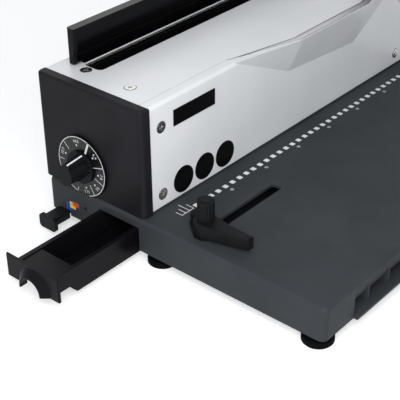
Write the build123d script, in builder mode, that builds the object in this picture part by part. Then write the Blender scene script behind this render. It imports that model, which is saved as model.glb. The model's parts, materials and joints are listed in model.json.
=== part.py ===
from build123d import *
import math
import os

# Wire punching and binding machine, in millimetres.
# Places along X are measured from the middle of the housing, places along Y from the line of
# printed hole marks (rear is +Y) and places along Z from the table. The frame's origin is on the
# table, under the middle of the whole machine, so every plane is shifted by frame_x and frame_y.

# Punching pattern: three holes to the inch
hole_count = 34
hole_pitch = 25.4 / 3
punch_hole_side = 4.1
punch_pin_clearance = 0.1
punch_y = 38.0

# Clearances
running_clearance = 0.1
moving_gap = 0.3
hole_clearance = 0.1
cut_over = 2.0

# Feet and base
foot_height = 9.0
foot_radius = 11.5
foot_neck_radius = 8.0
foot_tread = 5.5
foot_inset_x = 10.5
foot_front_inset = 11.7
foot_middle_y = 6.0
foot_rear_y = 98.0
foot_rear_inset = 86.2
base_width = 362.4
base_front_y = -144.7
base_rear_y = 114.5
base_height = 27.0
base_skin = 2.5
base_corner = 5.0
base_edge = 3.0
floor_sheet = 1.2
foot_boss_radius = 7.0
foot_stud_radius = 2.5
mouth_gap = 1.0

# Housing
housing_height = 86.3
housing_front_y = 16.0
housing_rear_y = 119.4
housing_half = 170.0
cover_sheet = 1.2
cover_edge_radius = 3.0
throat = 1.8
seam_y = 25.0
seam_gap = 0.4
panel_thickness = 9.2
panel_wall = 2.5
panel_proud = 1.0
panel_corner = 4.0
panel_top_edge = 2.0
panel_boss_radius = 4.0
panel_hole_gap = 2.0
panel_boss_inset = 10.0
panel_boss_low = 18.0
panel_boss_high = 70.0
panel_boss_middle = 50.0
cover_rear_radius = 1.0

# Wire slot with its flared lip in the upper front of the housing
slit_left_x = -74.7
lip_left_x = -8.7
lip_right_x = 84.3
slit_right_x = 150.3
lip_top_y = 2.3
lip_fold_left_height = 55.0
lip_fold_right_height = 48.0
slit_end_y = 23.5
slit_end_half = 0.6
lip_end_depth = 0.4
lip_end_proud = 0.1
fold_radius_cut = 0.5
mouth_back_run = 5.0
tongue_front_y = 11.2
wire_rest_gap = 0.8
wire_rest_drop = 0.9
wire_rest_sheet = 1.5
wire_rest_depth = 8.0
wire_rest_back_y = 20.5
wire_rest_point_run = 12.0

# Binding channel in the rear of the housing top
channel_half = 148.7
channel_front_y = 83.4
channel_width = 18.6
channel_corner = 4.5
channel_depth = 22.2
channel_floor_sheet = 1.5
jaw_height = 14.0
jaw_lift = 2.4
jaw_front_thickness = 5.5
jaw_rear_thickness = 4.0
jaw_end_gap = 1.0
jaw_setback = 0.4
closer_arm_width = 6.0
closer_arm_drop = 5.0
closer_arm_run = 10.0
jaw_bite = 1.0
anvil_leg_width = 4.0
anvil_leg_depth = 8.0
anvil_leg_drop = 6.0

# Side frames
frame_sheet = 2.5
frame_x_gap = 3.0
frame_flange = 14.0
frame_flange_gap = 2.0
foot_flange_start = 92.0
foot_flange_depth = 18.0

# Main shaft and cams
shaft_radius = 6.0
shaft_height = 62.0
cam_wall = 2.6
handle_turn = 75.0
handle_lean = 15.0
punch_stroke = 9.0
closer_stroke = 4.7
cam_gap = 0.45
punch_cam_x = 110.0
punch_cam_width = 12.0
closer_cam_x = 129.0
closer_cam_width = 10.0
bush_wall = 3.0
bush_length = 7.0
shaft_end_reach = 1.0

# Punch
die_thickness = 5.0
die_half_depth = 11.0
die_half_length = 158.0
spacer_width = 8.0
guide_height = 10.2
pin_tip_inside_guide = 0.4
pressure_bar_half = 158.0
pressure_bar_depth = 14.0
pressure_bar_height = 16.0
post_x = 152.0
post_radius = 4.0
post_seat = 6.0
post_top_gap = 4.0
spring_wire_radius = 0.6
spring_radius = 5.4
spring_turns = 6
die_screw_radius = 2.0
die_screw_head_radius = 3.4
die_screw_head = 4.0
die_screw_spread = 15.0
cam_relief_side = 2.0

# Dial
dial_y = 75.2
dial_height = 23.5
dial_plate_radius = 24.4
dial_plate_thickness = 2.5
spindle_radius = 4.0
dial_angle = 20.0
dial_turn = 300.0
anvil_travel = 7.9
stop_cam_small = 9.0
stop_cam_width = 6.0
stop_cam_x = 153.0
stop_cam_gap = 0.45
stop_cam_steps = 30
spindle_hole_gap = 1.0
knob_skirt_radius = 13.0
knob_skirt = 2.0
knob_hub_radius = 7.8
knob_length = 17.2
knob_root_reach = 12.9
knob_tip_reach = 10.5
knob_tail_reach = 10.0
knob_root_width = 8.0
knob_tip_width = 5.0
knob_tail_setback = 1.5
knob_cap = 3.0

# Tie rods, (y, height over the base top)
tie_rod_radius = 4.0
tie_rod_places = [(25.0, 28.0), (62.0, 44.0), (110.0, 30.0)]

# Depth stop and its slider
stop_sheet = 1.2
stop_lift = 0.2
paper_margin = 6.0
stop_half_length = 149.0
stop_blade_depth = 16.0
stop_tail_x = -133.0
stop_tail_half = 13.0
stop_pin_radius = 2.0
stop_pin_side_gap = 0.3
stop_tail_edge = 0.5
slider_y = 98.2
slider_width = 10.0
slider_height = 8.0
slider_out = 19.2
slider_travel = 16.5
depth_travel = 3.0
slider_foot_start_x = -140.0
slider_inner_x = -108.0
slider_plate = 3.0
slider_plate_width = 17.6
slider_plate_corner = 3.0
slider_plate_bottom = 3.5
slider_plate_height = 11.7
slider_groove_depth = 4.0
slider_block_width = 13.5
slider_block_bottom = 7.0
slider_block_height = 6.5
slider_block_gap = 1.5
slider_block_edge = 1.5
slider_neck = 2.0
slider_pin_offset = 1.5
slider_channel_wall = 1.8
slider_channel_end_x = -110.0
slider_lip = 1.8

# Waste drawer
drawer_out = 79.7
drawer_length = 297.0
drawer_front_y = 20.5
drawer_rear_y = 59.3
drawer_rim_height = 28.0
drawer_bottom = 5.5
drawer_plate_bottom = 9.5
drawer_block_bottom = 13.0
drawer_toe = 3.0
drawer_wall = 1.8
drawer_floor = 2.0
drawer_rim_flange = 1.8
drawer_rim_thickness = 2.0
drawer_plate = 2.0
drawer_plate_front_y = 17.5
drawer_plate_rear_y = 70.5
drawer_block = 18.5
drawer_block_drop = 0.8
finger_y = 42.5
finger_radius = 9.7
finger_top = 20.0
finger_collar = 4.5
finger_collar_wall = 1.2
finger_flare = 5.3
finger_depth = 14.0
drawer_rib_start = 24.0
drawer_rib_length = 40.0
drawer_rib_width = 1.5
drawer_rib_height = 2.0
drawer_rib_spacing = 11.7
drawer_plate_edge = 0.8
rail_web = 2.0
rail_ledge = 2.0
rail_inner_x = 125.0

# Front grip
grip_half = 146.7
grip_top = 24.0
grip_depth = 11.0
grip_lip = 3.3
grip_lip_thickness = 2.0
grip_wall = 2.0
grip_rib_pitch = 25.4
grip_rib_width = 1.6
grip_rib_setback = 1.5
grip_scoop_radius = 26.0
grip_brow_depth = 1.6
grip_brow_drop = 5.5
grip_brow_radius = 9.0

# Edge guide
guide_slot_left_x = -172.7
guide_slot_right_x = -79.7
guide_slot_y = -29.4
guide_slot_width = 9.2
guide_slot_corner = 2.6
shoe_right_x = -143.7
shoe_wing = 4.0
shoe_wing_thickness = 2.0
page_half_width = 148.5
clamp_x = -163.2
guide_plate_thickness = 1.8
guide_hub_radius = 9.5
stop_block_width = 12.7
stop_block_front_y = -22.0
stop_block_depth = 10.0
stop_block_height = 8.8
lever_hub_radius = 9.3
lever_height = 9.7
lever_arm_left_root = (-173.1, -32.3)
lever_arm_left_tip = (-163.8, -67.6)
lever_arm_right_tip = (-158.4, -68.0)
lever_arm_right_root = (-157.6, -46.8)
lever_arm_inner_root = (-154.9, -33.0)
clamp_screw_radius = 2.5
clamp_knob_radius = 6.3
clamp_knob_height = 16.0
clamp_flute_count = 14
clamp_flute_radius = 0.9
clamp_cap_inset = 2.0
clamp_cap_height = 0.8
lever_edge = 1.5
stop_block_corner = 2.0

# Hinged cover
cover_half = 155.2
cover_front_y = 102.2
cover_thickness = 7.6
cover_height = 29.0
cover_axis_back = 4.0
cover_lift = 0.3
cover_wall = 2.0
cover_rim = 3.0
cover_solid = 9.0
hinge_pitch = 110.0
hinge_finger_width = 6.0
hinge_finger_half = 2.4
hinge_pin_radius = 1.5
hinge_pin_length = 20.0
hinge_foot_width = 16.0
hinge_foot_sheet = 2.0
hinge_foot_y = 111.0
hinge_foot_depth = 7.0
hinge_riser = 5.0
hinge_notch_gap = 0.5
cover_corner = 1.5
cover_round_short = 0.05

# Trim
name_plate_left_x = -145.1
name_plate_width = 45.4
name_plate_bottom = 62.5
name_plate_height = 12.9
name_plate_thickness = 0.8
name_plate_cut = 3.0
badge_radius = 10.75
badge_thickness = 0.4
badge_first_x = -135.3
badge_pitch = 23.95
badge_height = 14.6
screw_radius = 1.75
screw_head_radius = 4.2
screw_head_height = 1.2
screw_proud = 0.25
screw_recess = 0.8
screw_length = 4.0
top_screw_x = 154.1
top_screw_rows = [48.2, 92.8]
front_screw_x = 157.7
front_screw_heights = [12.0, 67.0]

# Handle
arm_gap = 1.5
arm_thickness = 6.0
arm_width_root = 34.0
arm_width_tip = 22.0
arm_length = 190.0
handle_rod_radius = 6.0
grip_length = 120.0
grip_radius = 14.0
grip_arm_gap = 6.0
arm_cap_radius = 11.0
arm_cap = 6.0
arm_edge = 1.5
arm_cap_edge = 2.5
grip_edge = 3.0
grip_end_wall = 2.0

# Derived levels
base_bottom = foot_height
base_top = base_bottom + base_height
base_underside = base_top - base_skin
housing_top = base_top + housing_height
cover_underside = housing_top - cover_sheet
shaft_z = base_top + shaft_height
dial_z = base_top + dial_height
die_underside = base_top - die_thickness
guide_underside = base_top + throat
guide_top = guide_underside + guide_height

# Derived places along X
base_half = base_width / 2
base_inner = base_half - base_skin
panel_outer = housing_half + panel_thickness
frame_outer = housing_half - frame_x_gap
frame_inner = frame_outer - frame_sheet
arm_inner = panel_outer + arm_gap
arm_outer = arm_inner + arm_thickness
drawer_plate_inner = -base_half - moving_gap - drawer_out
drawer_face = drawer_plate_inner - drawer_plate
left_reach = drawer_face - finger_collar
right_reach = arm_outer + arm_cap

# Cam throws: each cam swings evenly about its middle height, so lift and turn stay in step
half_turn = math.radians(handle_turn / 2)
punch_throw = punch_stroke / (2 * math.sin(half_turn))
closer_throw = closer_stroke / (2 * math.sin(half_turn))
punch_cam_radius = punch_throw + shaft_radius + cam_wall
closer_cam_radius = closer_throw + shaft_radius + cam_wall

# Derived places along Y
shaft_y = punch_y + punch_throw * math.cos(half_turn)
base_depth = base_rear_y - base_front_y
base_mid_y = (base_rear_y + base_front_y) / 2
front_inner_y = housing_front_y + cover_sheet
rear_inner_y = housing_rear_y - cover_sheet
channel_rear_y = channel_front_y + channel_width
front_reach = base_front_y - grip_lip
frame_x = -(left_reach + right_reach) / 2
frame_y = -(front_reach + housing_rear_y) / 2


def level(height):
    # Horizontal plane, seen from above
    return Plane(origin=(frame_x, frame_y, height))


def across(place):
    # Upright plane facing +X: its own axes run along +Y and +Z
    return Plane(origin=(frame_x + place, frame_y, 0), x_dir=(0, 1, 0), z_dir=(1, 0, 0))


def facing(place):
    # Upright plane facing the front: its own axes run along +X and +Z
    return Plane(origin=(frame_x, frame_y + place, 0), x_dir=(1, 0, 0), z_dir=(0, -1, 0))


def save(piece, label):
    piece.part.label = label
    export_step(piece.part, "parts/" + label + ".step")


os.makedirs("parts", exist_ok=True)


# Base ------------------------------------------------------------------------------------------

front_foot_x = base_half - foot_inset_x
rear_foot_x = base_half - foot_rear_inset
front_foot_y = base_front_y + foot_front_inset
foot_places = []
for side in (-1, 1):
    foot_places.append((side * front_foot_x, front_foot_y))
    foot_places.append((side * front_foot_x, foot_middle_y))
    foot_places.append((side * rear_foot_x, foot_rear_y))

die_slot_half = die_half_length + moving_gap
die_slot_half_depth = die_half_depth + moving_gap
slot_length = guide_slot_right_x - guide_slot_left_x
slot_mid_x = (guide_slot_right_x + guide_slot_left_x) / 2
slot_half_width = guide_slot_width / 2
stop_slot_half = stop_pin_radius + stop_pin_side_gap
slider_pin_y = slider_y + slider_pin_offset
stop_slot_mid_y = slider_pin_y - depth_travel / 2
stop_slot_length = depth_travel + 2 * stop_slot_half
drawer_mouth_half = (drawer_rear_y - drawer_front_y) / 2 + mouth_gap
drawer_mid_y = (drawer_rear_y + drawer_front_y) / 2
drawer_mouth_top = drawer_rim_height + mouth_gap / 2
slider_mouth_half = slider_width / 2 + mouth_gap
slider_bottom = base_bottom + floor_sheet + moving_gap
slider_mouth_top = slider_bottom + slider_neck + mouth_gap / 2
grip_top_z = base_bottom + grip_top

with BuildPart() as base_shell:
    with BuildSketch(level(base_bottom)):
        with Locations((0, base_mid_y)):
            RectangleRounded(base_width, base_depth, base_corner)
    extrude(amount=base_height)
    fillet(base_shell.faces().sort_by(Axis.Z)[-1].edges(), base_edge)
    with BuildSketch(level(base_bottom)):
        with Locations((0, base_mid_y)):
            RectangleRounded(base_width - 2 * base_skin, base_depth - 2 * base_skin, base_corner / 2)
    extrude(amount=base_height - base_skin, mode=Mode.SUBTRACT)
    with BuildSketch(level(base_bottom + floor_sheet)):
        with Locations(*foot_places):
            Circle(foot_boss_radius)
    extrude(amount=base_height - base_skin - floor_sheet)
    with BuildSketch(level(base_bottom + floor_sheet)):
        with Locations(*foot_places):
            Circle(foot_stud_radius + hole_clearance)
    extrude(amount=base_height - 2 * base_skin - floor_sheet, mode=Mode.SUBTRACT)
    with BuildSketch(level(base_underside)):
        with Locations((0, punch_y)):
            Rectangle(2 * die_slot_half, 2 * die_slot_half_depth)
        with Locations((slot_mid_x, guide_slot_y)):
            RectangleRounded(slot_length, guide_slot_width, guide_slot_corner)
        with Locations((stop_tail_x, stop_slot_mid_y)):
            Rectangle(2 * stop_slot_half, stop_slot_length)
    extrude(amount=base_skin, mode=Mode.SUBTRACT)
    with BuildSketch(across(-base_half)):
        with BuildLine():
            mouth_low = Polyline(
                (drawer_mid_y - drawer_mouth_half, drawer_mouth_top),
                (drawer_mid_y - drawer_mouth_half, base_bottom),
                (drawer_mid_y + drawer_mouth_half, base_bottom),
                (drawer_mid_y + drawer_mouth_half, drawer_mouth_top),
            )
            Line(mouth_low @ 0, mouth_low @ 1)
        make_face()
        with Locations((slider_y, (base_bottom + slider_mouth_top) / 2)):
            Rectangle(2 * slider_mouth_half, slider_mouth_top - base_bottom)
    extrude(amount=base_skin, mode=Mode.SUBTRACT)
    with BuildSketch(facing(base_front_y)):
        with Locations((0, base_bottom + grip_top / 2)):
            Rectangle(2 * grip_half, grip_top)
    extrude(amount=-base_skin, mode=Mode.SUBTRACT)
save(base_shell, "base_shell")

with BuildPart() as bottom_cover:
    with BuildSketch(level(base_bottom)):
        with Locations((0, base_mid_y)):
            RectangleRounded(2 * base_inner, base_depth - 2 * base_skin, base_corner / 2)
        with Locations(((rail_inner_x - base_half) / 2, drawer_mid_y)):
            Rectangle(rail_inner_x + base_half, 2 * drawer_mouth_half, mode=Mode.SUBTRACT)
        with Locations((0, base_front_y)):
            Rectangle(2 * grip_half, 2 * (grip_depth + grip_wall), mode=Mode.SUBTRACT)
        with Locations(*foot_places):
            Circle(foot_stud_radius + hole_clearance, mode=Mode.SUBTRACT)
    extrude(amount=floor_sheet)
save(bottom_cover, "bottom_cover")

# The grip is a scoop along the front edge, under a rounded brow, with upright ribs and a lip.
grip_back_y = base_front_y + grip_depth
grip_floor_z = base_bottom + grip_lip_thickness
rib_total = int(2 * grip_half / grip_rib_pitch)
rib_first = -(rib_total - 1) / 2 * grip_rib_pitch
brow_foot = (base_front_y + grip_brow_depth, grip_top_z - grip_brow_drop)

with BuildPart() as front_grip:
    with BuildSketch(across(-grip_half)):
        with BuildLine():
            brow = RadiusArc((base_front_y, grip_top_z), brow_foot, grip_brow_radius)
            scoop = RadiusArc(brow @ 1, (grip_back_y, grip_floor_z), -grip_scoop_radius)
            Polyline(scoop @ 1, (front_reach, grip_floor_z), (front_reach, base_bottom))
            Polyline(
                (front_reach, base_bottom),
                (grip_back_y + grip_wall, base_bottom),
                (grip_back_y + grip_wall, grip_top_z),
                brow @ 0,
            )
        make_face()
    extrude(amount=2 * grip_half)
    for rib in range(rib_total):
        rib_x = rib_first + rib * grip_rib_pitch
        with BuildSketch(across(rib_x - grip_rib_width / 2)):
            with BuildLine():
                rib_arc = RadiusArc(brow_foot, (grip_back_y, grip_floor_z), -grip_scoop_radius)
                Polyline(
                    rib_arc @ 1,
                    (base_front_y + grip_rib_setback, grip_floor_z),
                    brow_foot,
                )
            make_face()
        extrude(amount=grip_rib_width)
save(front_grip, "front_grip")

with BuildPart() as rubber_feet:
    with BuildSketch(level(0)):
        with Locations(*foot_places):
            Circle(foot_radius)
    extrude(amount=foot_tread)
    with BuildSketch(level(foot_tread)):
        with Locations(*foot_places):
            Circle(foot_neck_radius)
    extrude(amount=foot_height - foot_tread)
    with BuildSketch(level(foot_tread)):
        with Locations(*foot_places):
            Circle(foot_stud_radius)
    extrude(amount=foot_height - foot_tread, mode=Mode.SUBTRACT)
save(rubber_feet, "rubber_feet")

with BuildPart() as foot_studs:
    with BuildSketch(level(foot_tread)):
        with Locations(*foot_places):
            Circle(foot_stud_radius)
    extrude(amount=base_underside - base_skin - foot_tread)
save(foot_studs, "foot_studs")


# Housing frame ---------------------------------------------------------------------------------

jaw_bottom = housing_top - channel_depth + jaw_lift
jaw_top = jaw_bottom + jaw_height
jaw_mid_z = jaw_bottom + jaw_height / 2
jaw_front_y = channel_front_y - jaw_setback - jaw_front_thickness
jaw_rear_y = channel_rear_y + jaw_setback
anvil_back_y = jaw_rear_y + jaw_rear_thickness
window_front_y = jaw_front_y - 2 * moving_gap
window_rear_y = anvil_back_y + 2 * moving_gap
bush_outer = shaft_radius + running_clearance + bush_wall
spindle_bush_outer = spindle_radius + running_clearance + bush_wall
frame_height = cover_underside - base_top
frame_depth = rear_inner_y - front_inner_y
frame_mid_y = (rear_inner_y + front_inner_y) / 2
front_flange_bottom = guide_top + frame_flange_gap
top_screw_mid_y = (top_screw_rows[0] + top_screw_rows[1]) / 2
top_screw_spread = top_screw_rows[1] - top_screw_rows[0]
front_screw_mid_z = base_top + (front_screw_heights[0] + front_screw_heights[1]) / 2
front_screw_spread = front_screw_heights[1] - front_screw_heights[0]

for side, hand in ((-1, "left"), (1, "right")):
    flange_mid_x = side * (frame_inner - frame_flange / 2)
    with BuildPart() as side_frame:
        with BuildSketch(across(side * frame_inner)):
            with Locations((frame_mid_y, base_top + frame_height / 2)):
                Rectangle(frame_depth, frame_height)
        extrude(amount=side * frame_sheet)
        with BuildSketch(level(cover_underside - frame_sheet)):
            with Locations((flange_mid_x, frame_mid_y)):
                Rectangle(frame_flange, frame_depth)
        extrude(amount=frame_sheet)
        with BuildSketch(level(base_top)):
            with Locations((flange_mid_x, foot_flange_start + foot_flange_depth / 2)):
                Rectangle(frame_flange, foot_flange_depth)
        extrude(amount=frame_sheet)
        with BuildSketch(level(front_flange_bottom)):
            with Locations((flange_mid_x, front_inner_y + frame_sheet / 2)):
                Rectangle(frame_flange, frame_sheet)
        extrude(amount=cover_underside - front_flange_bottom)
        with BuildSketch(across(side * frame_inner)):
            with Locations((shaft_y, shaft_z)):
                Circle(bush_outer)
            with Locations((dial_y, dial_z)):
                Circle(spindle_bush_outer)
            with Locations(((window_front_y + window_rear_y) / 2, jaw_mid_z)):
                Rectangle(window_rear_y - window_front_y, jaw_height + 2 * moving_gap)
        extrude(amount=side * frame_sheet, mode=Mode.SUBTRACT)
        with BuildSketch(level(cover_underside - frame_sheet)):
            with Locations((side * top_screw_x, top_screw_mid_y)):
                with GridLocations(1, top_screw_spread, 1, 2):
                    Circle(screw_radius + hole_clearance)
        extrude(amount=frame_sheet, mode=Mode.SUBTRACT)
        with BuildSketch(facing(front_inner_y)):
            with Locations((side * front_screw_x, front_screw_mid_z)):
                with GridLocations(1, front_screw_spread, 1, 2):
                    Circle(screw_radius + hole_clearance)
        extrude(amount=-frame_sheet, mode=Mode.SUBTRACT)
    save(side_frame, "side_frame_" + hand)

with BuildPart() as tie_rods:
    for rod_y, rod_height in tie_rod_places:
        with BuildSketch(across(-frame_inner)):
            with Locations((rod_y, base_top + rod_height)):
                Circle(tie_rod_radius)
        extrude(amount=2 * frame_inner)
save(tie_rods, "tie_rods")

with BuildPart() as shaft_bushes:
    for side in (-1, 1):
        with BuildSketch(across(side * (frame_outer + frame_x_gap - bush_length))):
            with Locations((shaft_y, shaft_z)):
                Circle(bush_outer)
                Circle(shaft_radius + running_clearance, mode=Mode.SUBTRACT)
            with Locations((dial_y, dial_z)):
                Circle(spindle_bush_outer)
                Circle(spindle_radius + running_clearance, mode=Mode.SUBTRACT)
        extrude(amount=side * bush_length)
save(shaft_bushes, "shaft_bushes")


# End panels ------------------------------------------------------------------------------------

panel_front_y = housing_front_y - panel_proud
panel_top = housing_top + panel_proud
panel_depth = housing_rear_y - panel_front_y
panel_height = panel_top - base_top
panel_mid_y = (housing_rear_y + panel_front_y) / 2
panel_boss_places = [
    (housing_front_y + panel_boss_inset, base_top + panel_boss_low),
    (housing_front_y + panel_boss_inset, base_top + panel_boss_high),
    (housing_rear_y - panel_boss_inset, base_top + panel_boss_middle),
]
panel_openings = {"left": (dial_y, dial_z, spindle_radius), "right": (shaft_y, shaft_z, shaft_radius)}

for side, hand in ((-1, "left"), (1, "right")):
    hole_y, hole_z, hole_for = panel_openings[hand]
    with BuildPart() as end_panel:
        with BuildSketch(across(side * housing_half)):
            with Locations((panel_mid_y, base_top + panel_height / 2)):
                Rectangle(panel_depth, panel_height)
        extrude(amount=side * panel_thickness)
        outer_face = end_panel.faces().filter_by(Axis.X).sort_by(Axis.X)[-1 if side > 0 else 0]
        fillet(outer_face.edges().filter_by(Axis.Z), panel_corner)
        fillet(end_panel.faces().sort_by(Axis.Z)[-1].edges().filter_by(Axis.Y), panel_top_edge)
        with BuildSketch(across(side * housing_half)):
            with Locations((panel_mid_y, base_top + panel_height / 2)):
                Rectangle(panel_depth - 2 * panel_corner, panel_height - 2 * panel_corner)
        extrude(amount=side * (panel_thickness - panel_wall), mode=Mode.SUBTRACT)
        with BuildSketch(across(side * frame_outer)):
            with Locations(*panel_boss_places):
                Circle(panel_boss_radius)
        extrude(amount=side * (frame_x_gap + panel_thickness - panel_wall))
        with BuildSketch(across(side * housing_half)):
            with Locations((hole_y, hole_z)):
                Circle(hole_for + panel_hole_gap)
        extrude(amount=side * panel_thickness, mode=Mode.SUBTRACT)
    save(end_panel, "end_panel_" + hand)


# Covers ----------------------------------------------------------------------------------------

def lip_outline(fold_z):
    # Section of the flared lip: front wall, fold and slanted panel
    return [
        (front_inner_y, fold_z),
        (housing_front_y, fold_z),
        (lip_top_y, housing_top),
        (front_inner_y, housing_top),
    ]


def mouth_outline(fold_z):
    # Section of the space behind the lip, open to the top and to the inside of the housing
    return [
        (seam_y + mouth_back_run, fold_z + fold_radius_cut),
        (front_inner_y + lip_end_proud, fold_z + fold_radius_cut),
        (lip_top_y + cover_sheet, housing_top),
        (lip_top_y + cover_sheet, housing_top + cut_over),
        (seam_y + mouth_back_run, housing_top + cut_over),
    ]


fold_left_z = base_top + lip_fold_left_height
fold_right_z = base_top + lip_fold_right_height
lip_start = [
    (front_inner_y, housing_top - lip_end_depth),
    (housing_front_y, housing_top - lip_end_depth),
    (housing_front_y - lip_end_proud, housing_top),
    (front_inner_y, housing_top),
]
mouth_start = [
    (slit_end_y + 2 * slit_end_half, cover_underside - slit_end_half / 2),
    (slit_end_y + slit_end_half / 2, cover_underside - slit_end_half / 2),
    (slit_end_y, housing_top),
    (slit_end_y, housing_top + cut_over),
    (slit_end_y + 2 * slit_end_half, housing_top + cut_over),
]
lip_stations = [slit_left_x, lip_left_x, lip_right_x, slit_right_x]
lip_sections = [lip_start, lip_outline(fold_left_z), lip_outline(fold_right_z), lip_start]
mouth_sections = [mouth_start, mouth_outline(fold_left_z), mouth_outline(fold_right_z), mouth_start]
cover_bottom = base_top + throat
rear_flange_y = foot_flange_start + foot_flange_depth + moving_gap

with BuildPart() as front_cover:
    with BuildSketch(across(-housing_half)):
        with BuildLine():
            Polyline(
                (housing_front_y + cover_edge_radius, housing_top),
                (seam_y - seam_gap / 2, housing_top),
                (seam_y - seam_gap / 2, cover_underside),
                (front_inner_y, cover_underside),
                (front_inner_y, cover_bottom),
                (housing_front_y, cover_bottom),
                (housing_front_y, housing_top - cover_edge_radius),
            )
            RadiusArc(
                (housing_front_y, housing_top - cover_edge_radius),
                (housing_front_y + cover_edge_radius, housing_top),
                cover_edge_radius,
            )
        make_face()
    extrude(amount=2 * housing_half)
    for station, section in zip(lip_stations, lip_sections):
        with BuildSketch(across(station)):
            with BuildLine():
                Polyline(*section, close=True)
            make_face()
    loft(ruled=True)
    for station, section in zip(lip_stations, mouth_sections):
        with BuildSketch(across(station)):
            with BuildLine():
                Polyline(*section, close=True)
            make_face()
    loft(ruled=True, mode=Mode.SUBTRACT)
    with BuildSketch(facing(housing_front_y)):
        with Locations((0, front_screw_mid_z)):
            with GridLocations(2 * front_screw_x, front_screw_spread, 2, 2):
                Circle(screw_head_radius)
    extrude(amount=-cover_sheet, mode=Mode.SUBTRACT)
save(front_cover, "front_cover")

with BuildPart() as top_cover:
    with BuildSketch(across(-housing_half)):
        with BuildLine():
            Polyline(
                (seam_y + seam_gap / 2, housing_top),
                (housing_rear_y, housing_top),
                (housing_rear_y, base_top),
                (rear_inner_y, base_top),
                (rear_inner_y, cover_underside),
                (seam_y + seam_gap / 2, cover_underside),
                close=True,
            )
        make_face()
    extrude(amount=2 * housing_half)
    fillet(top_cover.edges().filter_by(Axis.X).group_by(Axis.Z)[-1].sort_by(Axis.Y)[-1], cover_rear_radius)
    with BuildSketch(level(base_top)):
        with Locations((0, (rear_flange_y + rear_inner_y) / 2)):
            Rectangle(2 * (frame_inner - moving_gap), rear_inner_y - rear_flange_y)
    extrude(amount=cover_sheet)
    with BuildSketch(level(cover_underside)):
        with BuildLine():
            Polyline(
                (slit_left_x, seam_y + seam_gap / 2),
                (lip_left_x, tongue_front_y),
                (lip_right_x, tongue_front_y),
                (slit_right_x, seam_y + seam_gap / 2),
                close=True,
            )
        make_face()
    extrude(amount=cover_sheet)
    with BuildSketch(level(cover_underside)):
        with Locations((0, (channel_front_y + channel_rear_y) / 2)):
            RectangleRounded(2 * channel_half, channel_width, channel_corner)
        with Locations((0, top_screw_mid_y)):
            with GridLocations(2 * top_screw_x, top_screw_spread, 2, 2):
                Circle(screw_head_radius)
    extrude(amount=cover_sheet, mode=Mode.SUBTRACT)
save(top_cover, "top_cover")

with BuildPart() as cover_screws:
    with BuildSketch(level(cover_underside)):
        with Locations((0, top_screw_mid_y)):
            with GridLocations(2 * top_screw_x, top_screw_spread, 2, 2):
                Circle(screw_head_radius)
    extrude(amount=screw_head_height + screw_proud)
    with BuildSketch(level(housing_top + screw_proud)):
        with Locations((0, top_screw_mid_y)):
            with GridLocations(2 * top_screw_x, top_screw_spread, 2, 2):
                Rectangle(screw_head_radius, screw_recess)
                Rectangle(screw_recess, screw_head_radius)
    extrude(amount=-screw_recess, mode=Mode.SUBTRACT)
    with BuildSketch(level(cover_underside)):
        with Locations((0, top_screw_mid_y)):
            with GridLocations(2 * top_screw_x, top_screw_spread, 2, 2):
                Circle(screw_radius)
    extrude(amount=-screw_length)
    with BuildSketch(facing(front_inner_y)):
        with Locations((0, front_screw_mid_z)):
            with GridLocations(2 * front_screw_x, front_screw_spread, 2, 2):
                Circle(screw_head_radius)
    extrude(amount=screw_head_height + screw_proud)
    with BuildSketch(facing(housing_front_y - screw_proud)):
        with Locations((0, front_screw_mid_z)):
            with GridLocations(2 * front_screw_x, front_screw_spread, 2, 2):
                Rectangle(screw_head_radius, screw_recess)
                Rectangle(screw_recess, screw_head_radius)
    extrude(amount=-screw_recess, mode=Mode.SUBTRACT)
    with BuildSketch(facing(front_inner_y)):
        with Locations((0, front_screw_mid_z)):
            with GridLocations(2 * front_screw_x, front_screw_spread, 2, 2):
                Circle(screw_radius)
    extrude(amount=-screw_length)
save(cover_screws, "cover_screws")

# The wire rest fills most of the slit behind the lip and hangs from the front of the top cover.
rest_top = housing_top - wire_rest_drop
rest_floor = rest_top - wire_rest_depth
lip_lean = (front_inner_y - lip_top_y - cover_sheet) / (housing_top - fold_left_z)
rest_front_y = lip_top_y + cover_sheet + wire_rest_gap + lip_lean * (housing_top - rest_top + wire_rest_sheet)
rest_rear_y = tongue_front_y - wire_rest_gap
slit_run = lip_left_x - slit_left_x
slit_end_share = wire_rest_point_run / slit_run
slit_front_y = slit_end_y + (lip_top_y + cover_sheet - slit_end_y) * slit_end_share
slit_rear_y = seam_y + (tongue_front_y - seam_y) * slit_end_share
rest_point_y = (slit_front_y + slit_rear_y) / 2

with BuildPart() as wire_rest:
    with BuildSketch(level(rest_top - wire_rest_sheet)):
        with BuildLine():
            Polyline(
                (slit_left_x + wire_rest_point_run, rest_point_y),
                (lip_left_x, rest_front_y),
                (lip_right_x, rest_front_y),
                (slit_right_x - wire_rest_point_run, rest_point_y),
                (lip_right_x, rest_rear_y),
                (lip_left_x, rest_rear_y),
                close=True,
            )
        make_face()
    extrude(amount=wire_rest_sheet)
    with BuildSketch(across(lip_left_x)):
        with BuildLine():
            Polyline(
                (rest_rear_y - wire_rest_sheet, rest_top - wire_rest_sheet),
                (rest_rear_y - wire_rest_sheet, rest_floor),
                (wire_rest_back_y, rest_floor),
                (wire_rest_back_y, cover_underside),
                (wire_rest_back_y - wire_rest_sheet, cover_underside),
                (wire_rest_back_y - wire_rest_sheet, rest_floor + wire_rest_sheet),
                (rest_rear_y, rest_floor + wire_rest_sheet),
                (rest_rear_y, rest_top - wire_rest_sheet),
                close=True,
            )
        make_face()
    extrude(amount=lip_right_x - lip_left_x)
save(wire_rest, "wire_rest")

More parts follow.
